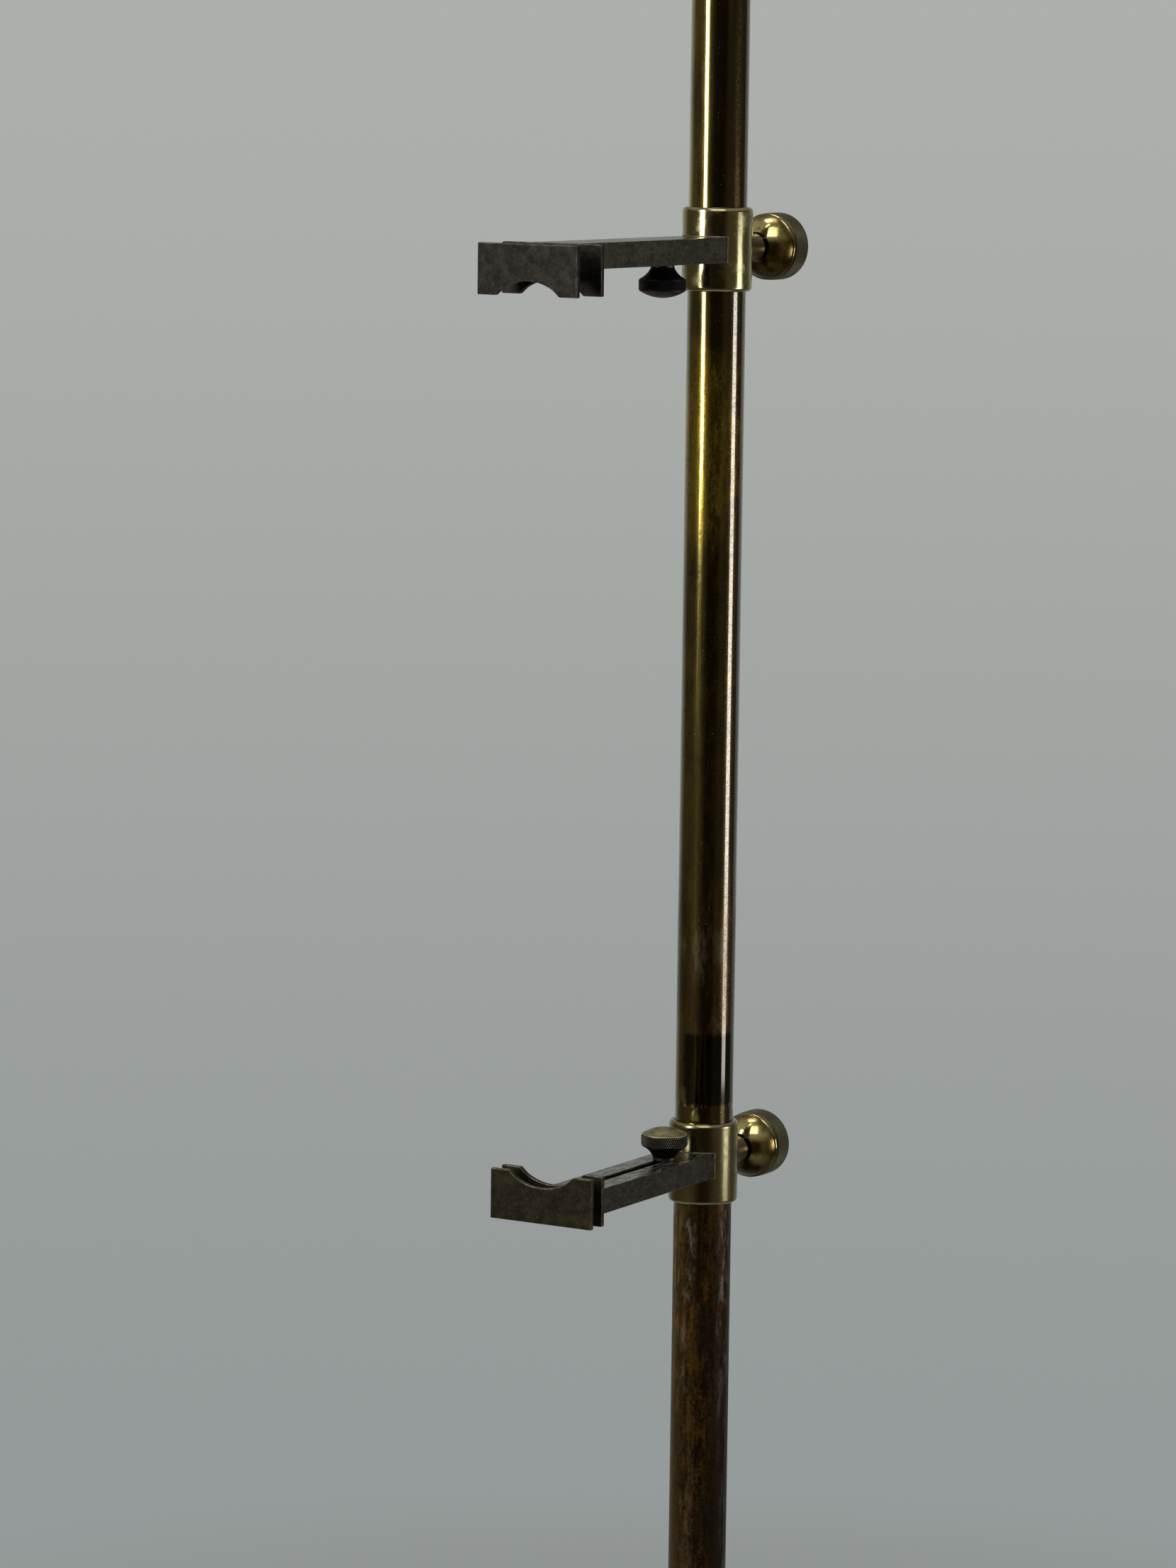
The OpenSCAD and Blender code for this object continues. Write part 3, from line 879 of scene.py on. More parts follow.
@dataclass(frozen=True)
class JapannedIron(Finish):
    """Black stoved enamel on cast iron, chipped to grey at the edge.

    Attributes:
        worn_rim: Radii over which the chips thicken towards the foot's edge.
    """

    ENAMEL = (0.012, 0.012, 0.013)
    DUST = (0.030, 0.029, 0.028)
    IRON = (0.16, 0.145, 0.13)

    worn_rim: Span = (86.0, 94.5)

    def paint(self, graph: Graph, spot: Field) -> Field:
        """Lays orange-peel gloss over the casting, with dust and chips.

        Args:
            graph: Tree to add nodes to.
            spot: Place on the foot, in millimetres.

        Returns:
            The shader's output.
        """
        cast = graph.noise(spot, 0.28, 4.0, 0.6)
        peel = graph.noise(spot, 1.1, 2.0, 0.5)
        dust = graph.noise(spot, 0.05, 5.0, 0.65).above(0.48, 0.72)
        edge = graph.across(spot, "X", "Y").above(*self.worn_rim)
        chips = graph.noise(spot, 0.42, 4.0, 0.6).above(0.60, 0.66) * (0.04 + 0.9 * edge)
        return graph.surface(
            Base_Color=graph.layers(self.ENAMEL, (self.DUST, dust), (self.IRON, chips)),
            Metallic=0.7 * chips,
            Roughness=0.26 + 0.16 * dust + 0.25 * chips,
            Coat_Weight=0.6 * (1.0 - chips),
            Coat_Roughness=0.12,
            Normal=graph.bump(cast + 0.25 * peel - 0.5 * chips, 0.10),
        )


@dataclass(frozen=True)
class TurnedSteel(Finish):
    """Oiled steel of screws, nut and washer, with turning lines and brown bloom."""

    STEEL = (0.40, 0.385, 0.36)
    BLOOM = (0.17, 0.105, 0.06)

    def paint(self, graph: Graph, spot: Field) -> Field:
        """Clouds the grey metal with brown bloom.

        Args:
            graph: Tree to add nodes to.
            spot: Place on the piece, in millimetres.

        Returns:
            The shader's output.
        """
        bloom = graph.noise(spot, 0.35, 5.0, 0.62).above(0.48, 0.70)
        lines = graph.streaks(spot, (0.4, 0.4, 5.0), 2.0, 0.5)
        return graph.surface(
            Base_Color=graph.mix(self.STEEL, self.BLOOM, bloom * 0.7),
            Metallic=1.0,
            Roughness=0.28 + 0.25 * bloom,
            Normal=graph.bump(lines, 0.015),
        )


@dataclass(frozen=True)
class GreenFelt(Finish):
    """Pressed green felt, matted and a little faded."""

    DARK = (0.016, 0.060, 0.030)
    LIGHT = (0.060, 0.125, 0.070)
    FADED = (0.085, 0.115, 0.065)

    def paint(self, graph: Graph, spot: Field) -> Field:
        """Tangles fibres over a faded ground.

        Args:
            graph: Tree to add nodes to.
            spot: Place on the felt, in millimetres.

        Returns:
            The shader's output.
        """
        fibre = graph.noise(spot, 2.2, 6.0, 0.75)
        matted = graph.noise(spot, 0.12, 4.0, 0.6).above(0.50, 0.72)
        colour = graph.layers(self.DARK, (self.LIGHT, fibre.above(0.36, 0.66)), (self.FADED, matted * 0.6))
        return graph.surface(
            Base_Color=colour,
            Roughness=0.92 + 0.06 * fibre,
            Sheen_Weight=0.5,
            Sheen_Roughness=0.6,
            Normal=graph.bump(fibre, 0.35),
        )


@dataclass(frozen=True)
class SoftSolder(Finish):
    """Thin grey fillet of solder between the arm and the collar."""

    BRIGHT = (0.20, 0.185, 0.14)
    DULL = (0.10, 0.088, 0.062)

    def paint(self, graph: Graph, spot: Field) -> Field:
        """Clouds the dull grey metal.

        Args:
            graph: Tree to add nodes to.
            spot: Place on the fillet, in millimetres.

        Returns:
            The shader's output.
        """
        cloud = graph.noise(spot, 0.7, 4.0, 0.6)
        return graph.surface(
            Base_Color=graph.mix(self.BRIGHT, self.DULL, cloud.above(0.40, 0.62)),
            Metallic=0.9,
            Roughness=0.42 + 0.14 * cloud,
            Normal=graph.bump(cloud, 0.02),
        )


@dataclass(frozen=True)
class PaleFloor(Finish):
    """Plain pale floor that fades out into the surroundings.

    Attributes:
        solid: Radius within which the floor is solid, in millimetres.
        faded: Radius at which it has faded out.
    """

    PALE = (0.370, 0.405, 0.420)
    PALER = (0.385, 0.420, 0.435)

    solid: float = 180.0
    faded: float = 500.0

    def paint(self, graph: Graph, spot: Field) -> Field:
        """Clouds the floor a little and clears it towards its edge.

        Args:
            graph: Tree to add nodes to.
            spot: Place on the floor, in millimetres.

        Returns:
            The shader's output.
        """
        fading = graph.across(spot, "X", "Y").above(self.solid, self.faded)
        colour = graph.mix(self.PALE, self.PALER, graph.noise(spot, 0.004, 3.0))
        ground = graph.surface(Base_Color=colour, Roughness=0.85, Specular_IOR_Level=0.1)
        return graph.node("MixShader", None, {0: fading, 1: ground, 2: graph.node("BsdfTransparent")})


class Outline:
    """Half section of a turned piece, as points of radius and height in millimetres."""

    def __init__(self, radius: float, height: float) -> None:
        """Starts at one point."""
        self.points: list[Span] = [(radius, height)]

    def to(self, radius: float, height: float, steps: int = 1) -> "Outline":
        """Adds a straight stretch.

        Args:
            radius: Radius at its end.
            height: Height at its end.
            steps: Number of pieces that it is cut into.

        Returns:
            The outline itself.
        """
        start = Vector(self.points[-1])
        end = Vector((radius, height))
        self.points += [tuple(start.lerp(end, step / steps)) for step in range(1, steps + 1)]
        return self

    def arc(self, radius: float, height: float, centre: Span, steps: int) -> "Outline":
        """Adds a round stretch, the shorter way round its centre.

        Args:
            radius: Radius at its end.
            height: Height at its end.
            centre: Centre of the arc.
            steps: Number of pieces that it is cut into.

        Returns:
            The outline itself.
        """
        middle = Vector(centre)
        start = Vector(self.points[-1]) - middle
        end = Vector((radius, height)) - middle
        sweep = start.angle_signed(end)
        for step in range(1, steps):
            spoke = Matrix.Rotation(-sweep * step / steps, 2) @ start
            self.points.append(tuple(middle + spoke))
        self.points.append((radius, height))
        return self

    @staticmethod
    def hub(start: Vector, end: Vector, radius: float) -> Span:
        """Centre of an arc between two points.

        Args:
            start: One end.
            end: The other end, with the centre to its right when looking from the start.
            radius: Radius of the arc.

        Returns:
            The centre.
        """
        chord = end - start
        inset = math.sqrt(radius**2 - chord.length_squared / 4.0)
        return tuple((start + end) / 2.0 - chord.orthogonal().normalized() * inset)

    def dome(self, height: float, rise: float, steps: int) -> "Outline":
        """Closes the outline with a shallow dome up to the axis.

        Args:
            height: Height of the dome's edge, where the outline is now.
            rise: How far the dome stands above its edge.
            steps: Number of pieces that it is cut into.

        Returns:
            The outline itself.
        """
        edge = self.points[-1][0]
        ball = (edge * edge + rise * rise) / (2.0 * rise)
        return self.arc(0.0, height + rise, (0.0, height + rise - ball), steps)


class Workshop:
    """Mesh operations that the pieces share."""

    SMOOTH_BELOW = math.radians(32.0)
    FLAT_BELOW = math.radians(0.5)
    MERGE = 0.0005

    @classmethod
    def turn(cls, outline: Outline, segments: int) -> bmesh.types.BMesh:
        """Spins an outline about Z.

        Args:
            outline: The half section.
            segments: Number of segments round.

        Returns:
            A closed mesh in millimetres, with outward normals.
        """
        mesh = bmesh.new()
        verts = [mesh.verts.new((radius, 0.0, height)) for radius, height in outline.points]
        edges = [mesh.edges.new(pair) for pair in zip(verts, verts[1:])]
        bmesh.ops.spin(
            mesh,
            geom=verts + edges,
            cent=(0.0, 0.0, 0.0),
            axis=(0.0, 0.0, 1.0),
            angle=math.tau,
            steps=segments,
            use_merge=True,
        )
        bmesh.ops.remove_doubles(mesh, verts=mesh.verts, dist=cls.MERGE)
        bmesh.ops.recalc_face_normals(mesh, faces=mesh.faces)
        return mesh

    @staticmethod
    def knurl(mesh: bmesh.types.BMesh, radius: float, low: float, high: float, depth: float) -> None:
        """Cuts a plain band into raised diamonds.

        Args:
            mesh: Turned mesh whose band is a grid of squares.
            radius: Radius of the band before it is raised.
            low: Lower edge of the band.
            high: Upper edge of the band.
            depth: Height of the diamonds' points.
        """

        def in_band(face: bmesh.types.BMFace) -> bool:
            """Whether a face lies in the band."""
            middle = face.calc_center_median()
            return low < middle.z < high and abs(middle.xy.length - radius) < depth

        band = set(filter(in_band, mesh.faces))
        grid = {edge for face in band for edge in face.edges if band.issuperset(edge.link_faces)}
        bmesh.ops.poke(mesh, faces=list(band))
        bmesh.ops.dissolve_edges(mesh, edges=list(grid))
        diamonds = [face for face in mesh.faces if len(face.verts) == 4 and in_band(face)]
        bmesh.ops.poke(mesh, faces=diamonds, offset=depth)

    @classmethod
    def filed(
        cls, node: bpy.types.Object, edge: float, keeps: Callable[[Vector], bool]
    ) -> bmesh.types.BMesh:
        """Copies a node's mesh and rounds its sharp edges as a file does.

        Args:
            node: The node's object.
            edge: Width of the rounding in millimetres.
            keeps: Test for the edges to round, on the edge's middle in metres.

        Returns:
            A mesh in metres whose rounded strips carry the worn-edge attribute.
        """
        mesh = bmesh.new()
        mesh.from_mesh(node.data)
        worn = mesh.faces.layers.float.new(WORN)
        bmesh.ops.remove_doubles(mesh, verts=mesh.verts, dist=cls.MERGE * MM)
        bmesh.ops.dissolve_limit(
            mesh,
            angle_limit=cls.FLAT_BELOW,
            verts=mesh.verts,
            edges=mesh.edges,
            use_dissolve_boundaries=False,
        )
        sharp = [
            line
            for line in mesh.edges
            if line.calc_face_angle(0.0) > cls.SMOOTH_BELOW
            and keeps((line.verts[0].co + line.verts[1].co) / 2.0)
        ]
        made = bmesh.ops.bevel(
            mesh,
            geom=sharp,
            offset=edge * MM,
            offset_type="OFFSET",
            affect="EDGES",
            segments=2,
            profile=0.5,
            material=-1,
            clamp_overlap=True,
        )
        for face in made["faces"]:
            face[worn] = 1.0
        return mesh

    @classmethod
    def piece(cls, name: str, mesh: bmesh.types.BMesh, place: Matrix | None = None) -> bpy.types.Object:
        """Makes an object at the origin from a finished mesh.

        Args:
            name: Name of the piece.
            mesh: Its mesh, which is freed.
            place: Transform to apply to the mesh first.

        Returns:
            The linked object, shaded smooth between its sharp edges.
        """
        if place is not None:
            bmesh.ops.transform(mesh, matrix=place, verts=mesh.verts)
        for face in mesh.faces:
            face.smooth = True
        data = bpy.data.meshes.new(name)
        mesh.to_mesh(data)
        mesh.free()
        data.set_sharp_from_angle(angle=cls.SMOOTH_BELOW)
        made = bpy.data.objects.new(name, data)
        bpy.context.scene.collection.objects.link(made)
        return made


@dataclass
class Assembly:
    """Base of the sub-assemblies: dresses nodes and hands over new pieces.

    Attributes:
        nodes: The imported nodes' objects by name.
    """

    nodes: dict[str, bpy.types.Object]

    def dress(self, finish: Finish, *names: str) -> None:
        """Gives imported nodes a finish.

        Args:
            finish: The finish.
            names: The nodes.
        """
        for name in names:
            slots = self.nodes[name].data.materials
            slots.clear()
            slots.append(finish.material())
            LOG.info("%s dressed in %s", name, finish.name)

    @staticmethod
    def hand_over(piece: bpy.types.Object, finish: Finish, body: str, slot: str, *stands_for: str) -> None:
        """Finishes a new piece and ties it to the frame.

        Args:
            piece: The piece.
            finish: Its finish.
            body: Body that it rides on.
            slot: Material slot of the record; not used.
            stands_for: Nodes that it replaces.
        """
        piece.data.materials.append(finish.material())
        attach(piece, body)
        if stands_for:
            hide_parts(*stands_for)
        LOG.info("%s rides on %s in %s", piece.name, body, finish.name)


@dataclass
class Foot(Assembly):
    """Iron foot with its felt, ferrule and the fastening under it.

    Attributes:
        felt_soft: Rounding of the felt's cut edge, in millimetres.
        felt_rings: Rings from the felt's middle to its edge.
        felt_edge_steps: Steps round each rounding of the edge.
        felt_wall_steps: Steps up the edge between the roundings.
        segments: Segments round the felt.
    """

    felt_soft: float = 0.6
    felt_rings: int = 24
    felt_edge_steps: int = 4
    felt_wall_steps: int = 2
    segments: int = 128

    def build(self) -> None:
        """Dresses the casting and its fittings and lays the felt."""
        self.dress(JapannedIron("stoved_black_iron"), "foot_casting")
        self.dress(PolishedBrass("ferrule_brass", haze=0.20), "foot_ferrule", "foot_plug")
        self.dress(TurnedSteel("oiled_steel"), "foot_washer", "foot_nut")
        self.lay_felt()

    def lay_felt(self) -> None:
        """Makes the felt disc, with a soft edge, in the place of its node."""
        low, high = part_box("foot_cloth")
        radius = (high.x - low.x) / (2.0 * MM)
        top = (high.z - low.z) / MM
        soft = self.felt_soft
        inner = radius - soft
        outline = Outline(0.0, 0.0).to(inner, 0.0, self.felt_rings)
        outline.arc(radius, soft, (inner, soft), self.felt_edge_steps)
        outline.to(radius, top - soft, self.felt_wall_steps)
        outline.arc(inner, top, (inner, top - soft), self.felt_edge_steps)
        outline.to(0.0, top, self.felt_rings)
        mesh = Workshop.turn(outline, self.segments)
        felt = Workshop.piece("foot_felt", mesh, Placement().matrix())
        self.hand_over(felt, GreenFelt("green_felt"), "stand", "green_cloth", "foot_cloth")


@dataclass
class Column(Assembly):
    """Brass tube with its cap."""

    def build(self) -> None:
        """Dresses the tube and the cap."""
        self.dress(ColumnBrass("lacquered_column_brass"), "column_tube")
        self.dress(PolishedBrass("cap_brass", tarnish=(0.22, 0.145, 0.05)), "top_cap")


@dataclass
class ClampKnobShape:
    """Turned clamp knob, with heights along the screw from the column's axis, in millimetres.

    Attributes:
        mouth: Where the mouth's edge lies.
        back: Where the rim ends.
        rim_radius: Radius of the knurl's points.
        dome_radius: Radius of the dome's ball.
        mouth_radius: Radius of the mouth.
        mouth_depth: Depth of the mouth.
        seat_radius: Radius of the screw's seat.
        seat_depth: Depth of the seat below the mouth's floor.
        dome_edge: Distance from the ball's centre forward to the dome's edge.
        bead: Width of the bead at the dome's edge.
        bead_curve: Radius of the bead's section.
        groove_width: Width of the groove behind the dome.
        groove_depth: Depth of the groove.
        chamfer: Chamfer on the rim's edges.
        knurl_depth: Depth of the knurl.
        columns: Diamonds round the rim.
        rows: Diamonds across the rim.
    """

    mouth: float
    back: float
    rim_radius: float
    dome_radius: float = 11.0
    mouth_radius: float = 4.9
    mouth_depth: float = 3.6
    seat_radius: float = 3.02
    seat_depth: float = 7.0
    dome_edge: float = 2.6
    bead: float = 1.3
    bead_curve: float = 0.95
    groove_width: float = 0.5
    groove_depth: float = 0.8
    chamfer: float = 0.25
    knurl_depth: float = 0.18
    columns: int = 114
    rows: int = 6

    DOME_STEPS = 28
    BEAD_STEPS = 8
    BACK_STEPS = 10

    @property
    def rim(self) -> float:
        """Where the rim starts."""
        return self.ball - self.dome_edge + self.groove_width

    @property
    def ball(self) -> float:
        """Where the centre of the dome's ball lies."""
        return self.mouth + math.sqrt(self.dome_radius**2 - self.mouth_radius**2)

    def dome_at(self, forward: float) -> float:
        """Radius of the dome at a distance forward of the ball's centre."""
        return math.sqrt(self.dome_radius**2 - forward**2)

    def mesh(self, rise: float) -> bmesh.types.BMesh:
        """Turns the knob and cuts its knurl.

        Args:
            rise: Rise of the knob's domed back.

        Returns:
            The mesh, with the screw's axis along Z.
        """
        floor = self.mouth + self.mouth_depth
        edge = self.ball - self.dome_edge
        bead_low = Vector((self.dome_at(self.dome_edge + self.bead), edge - self.bead))
        bead_high = Vector((self.dome_at(self.dome_edge), edge))
        bead_centre = Outline.hub(bead_high, bead_low, self.bead_curve)
        groove = bead_high.x - self.groove_depth
        plain = self.rim_radius - self.knurl_depth
        back_edge = self.back - rise
        outline = Outline(0.0, floor + self.seat_depth).to(self.seat_radius, floor + self.seat_depth)
        outline.to(self.seat_radius, floor).to(self.mouth_radius, floor).to(self.mouth_radius, self.mouth)
        outline.arc(bead_low.x, bead_low.y, (0.0, self.ball), self.DOME_STEPS)
        outline.arc(bead_high.x, edge, bead_centre, self.BEAD_STEPS)
        outline.to(groove, edge).to(groove, self.rim).to(plain - self.chamfer, self.rim)
        outline.to(plain, self.rim + self.chamfer)
        outline.to(plain, back_edge - self.chamfer, self.rows)
        outline.to(plain - self.chamfer, back_edge).to(plain - 2.0 * self.chamfer, back_edge)
        outline.dome(back_edge, rise, self.BACK_STEPS)
        mesh = Workshop.turn(outline, self.columns)
        Workshop.knurl(mesh, plain, self.rim + self.chamfer, back_edge - self.chamfer, self.knurl_depth)
        return mesh


@dataclass
class LockKnobShape:
    """Turned lock knob, with heights from the middle of the arm, in millimetres.

    Attributes:
        foot: Where the neck starts, on the washer.
        top: Top of the cap.
        rim_radius: Radius of the knurl's points.
        bore_radius: Radius of the screw's hole.
        neck_radius: Radius of the neck at its foot.
        neck_top_radius: Radius where the neck meets the head.
        neck_height: Height of the neck.
        neck_curve: Radius of the neck's hollow curve.
        bevel: Height of the bevel under the head.
        rim_height: Height of the knurled rim.
        lip: Rounding of the plain lip above the rim.
        knurl_depth: Depth of the knurl.
        columns: Diamonds round the rim.
        rows: Diamonds up the rim.
    """

    foot: float
    top: float
    rim_radius: float
    bore_radius: float = 1.42
    neck_radius: float = 3.7
    neck_top_radius: float = 6.1
    neck_height: float = 3.0
    neck_curve: float = 7.0
    bevel: float = 0.8
    rim_height: float = 3.6
    lip: float = 0.4
    knurl_depth: float = 0.28
    columns: int = 68
    rows: int = 3

    NECK_STEPS = 10
    LIP_STEPS = 5
    CAP_STEPS = 12

    @property
    def rim(self) -> float:
        """Where the rim starts."""
        return self.foot + self.neck_height + self.bevel

    @property
    def cap(self) -> float:
        """Where the lip under the cap starts."""
        return self.rim + self.rim_height

    def mesh(self) -> bmesh.types.BMesh:
        """Turns the knob and cuts its knurl.

        Returns:
            The mesh, with the knob's axis along Z.
        """
        foot = Vector((self.neck_radius, self.foot))
        head = Vector((self.neck_top_radius, self.foot + self.neck_height))
        centre = Outline.hub(foot, head, self.neck_curve)
        plain = self.rim_radius - self.knurl_depth
        outline = Outline(0.0, self.rim).to(self.bore_radius, self.rim).to(self.bore_radius, self.foot)
        outline.to(foot.x, foot.y).arc(head.x, head.y, centre, self.NECK_STEPS)
        outline.to(plain, self.rim).to(plain, self.cap, self.rows)
        inner = plain - self.lip
        outline.arc(inner, self.cap + self.lip, (inner, self.cap), self.LIP_STEPS)
        outline.dome(self.cap + self.lip, self.top - self.cap - self.lip, self.CAP_STEPS)
        mesh = Workshop.turn(outline, self.columns)
        Workshop.knurl(mesh, plain, self.rim, self.cap, self.knurl_depth)
        return mesh


@dataclass
class Clamp(Assembly):
    """One sliding clamp: collar, boss, clamp knob, arm, jaws and lock knob.

    Attributes:
        side: Which of the two clamps it is.
        place: Where its own axes lie.
        lock_y: Place of the lock screw along the arm, in millimetres.
        collar_radius: Outside radius of the collar, in millimetres.
        filed_edge: Rounding of the filed edges.
        knob_back_rise: Rise of the clamp knob's back.
        solder: Radius of the solder fillet round the arm's end.
        solder_steps: Steps of the fillet across the arm.
        solder_facets: How finely the fillet's round section is cut.
    """

    side: Side
    place: Placement
    lock_y: float
    collar_radius: float
    filed_edge: float = 0.28
    knob_back_rise: float = 1.2
    solder: float = 0.32
    solder_steps: int = 10
    solder_facets: int = 3

    SOLDER_MERGE = 1e-7

    def name(self, part: str) -> str:
        """Full name of one of this clamp's nodes, bodies or pieces."""
        return f"{self.side.value}_{part}"

    def build(self) -> None:
        """Dresses the nodes and adds the knobs, plates and solder."""
        self.dress_nodes()
        self.make_clamp_knob()
        self.make_lock_knob()
        self.make_plates()
        self.run_solder()

    def dress_nodes(self) -> None:
        """Finishes for the nodes that are shown as they are."""
        brass = PolishedBrass(self.name("collar_brass"), self.place)
        if self.side is Side.LOWER:
            brass = replace(brass, bright=(0.340, 0.305, 0.170), tarnish=(0.155, 0.132, 0.065))
        else:
            brass = replace(brass, bright=(0.460, 0.420, 0.235), tarnish=(0.250, 0.222, 0.118))
            brass = replace(brass, haze=0.11, dulling=0.24)
        boss = PolishedBrass(
            self.name("boss_brass"),
            self.place,
            bright=(0.19, 0.155, 0.080),
            tarnish=(0.095, 0.074, 0.036),
            haze=0.28,
        )
        bronze = DarkBronze(self.name("washer_bronze"), self.place)
        steel = TurnedSteel(self.name("screw_steel"), self.place)
        self.dress(brass, self.name("collar"), self.name("liner"))
        self.dress(boss, self.name("boss"), self.name("thrust_pad"))
        self.dress(bronze, self.name("lock_washer"))
        self.dress(steel, self.name("clamp_screw"), self.name("lock_screw"))

    def own_box(self, part: str) -> tuple[Vector, Vector]:
        """Corners of a node in the clamp's own axes, read from the lower clamp, which isn't turned.

        Args:
            part: The node's name without its side.

        Returns:
            The lowest and the highest corner, in millimetres.
        """
        low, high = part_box(f"{Side.LOWER.value}_{part}")
        bottom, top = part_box("lower_collar")
        middle = Vector((0.0, 0.0, bottom.z + top.z)) / 2.0
        return (low - middle) / MM, (high - middle) / MM

    def make_clamp_knob(self) -> None:
        """Turns the clamp knob on the screw behind the collar."""
        low, high = self.own_box("clamp_knob")
        shape = ClampKnobShape(mouth=low.y, back=high.y, rim_radius=high.x)
        on_screw = Matrix.Rotation(math.radians(-90.0), 4, "X")
        mesh = shape.mesh(self.knob_back_rise)
        knob = Workshop.piece(self.name("knurled_clamp_knob"), mesh, self.place.matrix() @ on_screw)
        finish = KnobBrass(
            self.name("knob_brass"),
            self.place,
            rim=shape.rim,
            bead=shape.bead + shape.groove_width,
            groove=shape.groove_width,
            rim_radius=shape.rim_radius,
            mouth_radius=shape.mouth_radius,
        )
        self.hand_over(knob, finish, self.name("knob"), "knob_brass", self.name("clamp_knob"))

    def make_lock_knob(self) -> None:
        """Turns the lock knob on its washer."""
        low, high = self.own_box("lock_knob")
        shape = LockKnobShape(foot=low.z, top=high.z, rim_radius=high.x)
        on_arm = Matrix.Translation((0.0, self.lock_y, 0.0))
        knob = Workshop.piece(self.name("knurled_lock_knob"), shape.mesh(), self.place.matrix() @ on_arm)
        finish = LockKnobBronze(
            self.name("lock_bronze"),
            self.place,
            rim_low=shape.rim,
            rim_high=shape.cap,
            rim_radius=shape.rim_radius,
            axis_y=self.lock_y,
        )
        # Painted shade: the knob that hangs under the upper arm gets a much darker copy of the finish,
        # rubbed points included.
        if self.side is Side.UPPER:
            finish = replace(
                finish, cap=(0.045, 0.042, 0.026), points=(0.050, 0.050, 0.050), shade=(0.012, 0.012, 0.012)
            )
        self.hand_over(knob, finish, self.name("lock"), "black_bronze", self.name("lock_knob"))

    def plate_finishes(self) -> tuple[Finish, Finish]:
        """Finishes of the arm and of the jaws: the lower ones are olive, the upper jaws purple-brown.

        Returns:
            The arm's finish and the jaws' finish.
        """
        arm = DarkBronze(self.name("arm_bronze"), self.place, half=self.own_box("arm")[1].z)
        jaw_top = self.own_box("front_jaw")[1].z
        jaw = DarkBronze(self.name("jaw_bronze"), self.place, scuffs=0.0, half=jaw_top)
        if self.side is Side.LOWER:
            arm = replace(arm, dark=(0.025, 0.023, 0.017), light=(0.050, 0.046, 0.034), scuffs=0.85)
            jaw = replace(jaw, dark=(0.022, 0.019, 0.010), light=(0.052, 0.045, 0.025), specked=0.22)
        else:
            arm = replace(arm, dark=(0.031, 0.029, 0.019), light=(0.068, 0.064, 0.044), scuffs=0.50)
            jaw = replace(jaw, dark=(0.0055, 0.0046, 0.0038), light=(0.026, 0.0225, 0.0185))
        return arm, jaw

    def make_plates(self) -> None:
        """Files the edges of the arm, the jaws and the slide bar."""
        clear = (self.collar_radius + 2.0 * self.solder) * MM
        arm, jaw = self.plate_finishes()
        plates = (
            ("arm", "filed_arm", "clamp", arm),
            ("rear_jaw", "filed_rear_jaw", "clamp", jaw),
            ("front_jaw", "filed_front_jaw", "slider", jaw),
            ("slide_bar", "filed_slide_bar", "slider", arm),
        )
        for node, piece, body, finish in plates:
            mesh = Workshop.filed(
                self.nodes[self.name(node)], self.filed_edge, lambda spot: spot.xy.length > clear
            )
            made = Workshop.piece(self.name(piece), mesh)
            made.modifiers.new("flat_faces", "WEIGHTED_NORMAL").keep_sharp = True
            self.hand_over(made, finish, self.name(body), "dark_bronze", self.name(node))

    def run_solder(self) -> None:
        """Runs a thin fillet of solder round the arm where it meets the collar."""
        low, high = self.own_box("arm")
        half = math.asin(high.x / self.collar_radius)
        steps = self.solder_steps
        angles = [half * (2.0 * step / steps - 1.0) for step in range(steps + 1)]
        seam = [(angle, high.z) for angle in angles] + [(angle, low.z) for angle in reversed(angles)]
        curve = bpy.data.curves.new(self.name("solder_path"), "CURVE")
        curve.dimensions = "3D"
        curve.bevel_depth = self.solder * MM
        curve.bevel_resolution = self.solder_facets
        run = curve.splines.new("POLY")
        run.points.add(len(seam) - 1)
        run.use_cyclic_u = True
        for point, (angle, height) in zip(run.points, seam):
            spot = Vector((math.sin(angle), -math.cos(angle), 0.0)) * self.collar_radius
            spot.z = height
            point.co = (*(self.place.matrix() @ spot), 1.0)
        scratch = bpy.data.objects.new(self.name("solder_path"), curve)
        bpy.context.scene.collection.objects.link(scratch)
        bpy.context.view_layer.update()
        scene_now = bpy.context.evaluated_depsgraph_get()
        data = bpy.data.meshes.new_from_object(scratch.evaluated_get(scene_now))
        mesh = bmesh.new()
        mesh.from_mesh(data)
        bmesh.ops.remove_doubles(mesh, verts=mesh.verts, dist=self.SOLDER_MERGE)
        bmesh.ops.recalc_face_normals(mesh, faces=mesh.faces)
        bpy.data.objects.remove(scratch)
        bpy.data.curves.remove(curve)
        bpy.data.meshes.remove(data)
        fillet = Workshop.piece(self.name("solder_fillet"), mesh)
        finish = SoftSolder(self.name("solder"), self.place)
        self.hand_over(fillet, finish, self.name("clamp"), "dark_bronze")


@dataclass(frozen=True)
class Lamp:
    """One soft lamp, placed by the direction in which the column sees it.

    Attributes:
        name: Name of the lamp.
        bearing: Angle to the right of the camera's own direction, in degrees.
        distance: Distance from the column, in metres.
        height: Height of the lamp's middle.
        width: Width of the lamp's face.
        tall: Height of the lamp's face.
        glow: Brightness of its face, where 1 is white.
        aim: Height on the column that it faces.
        colour: Colour of its light.
        lean: How far its face leans to one side, in degrees.
    """

    name: str
    bearing: float
    distance: float
    height: float
    width: float
    tall: float
    glow: float
    aim: float
    colour: Colour
    lean: float = 0.0


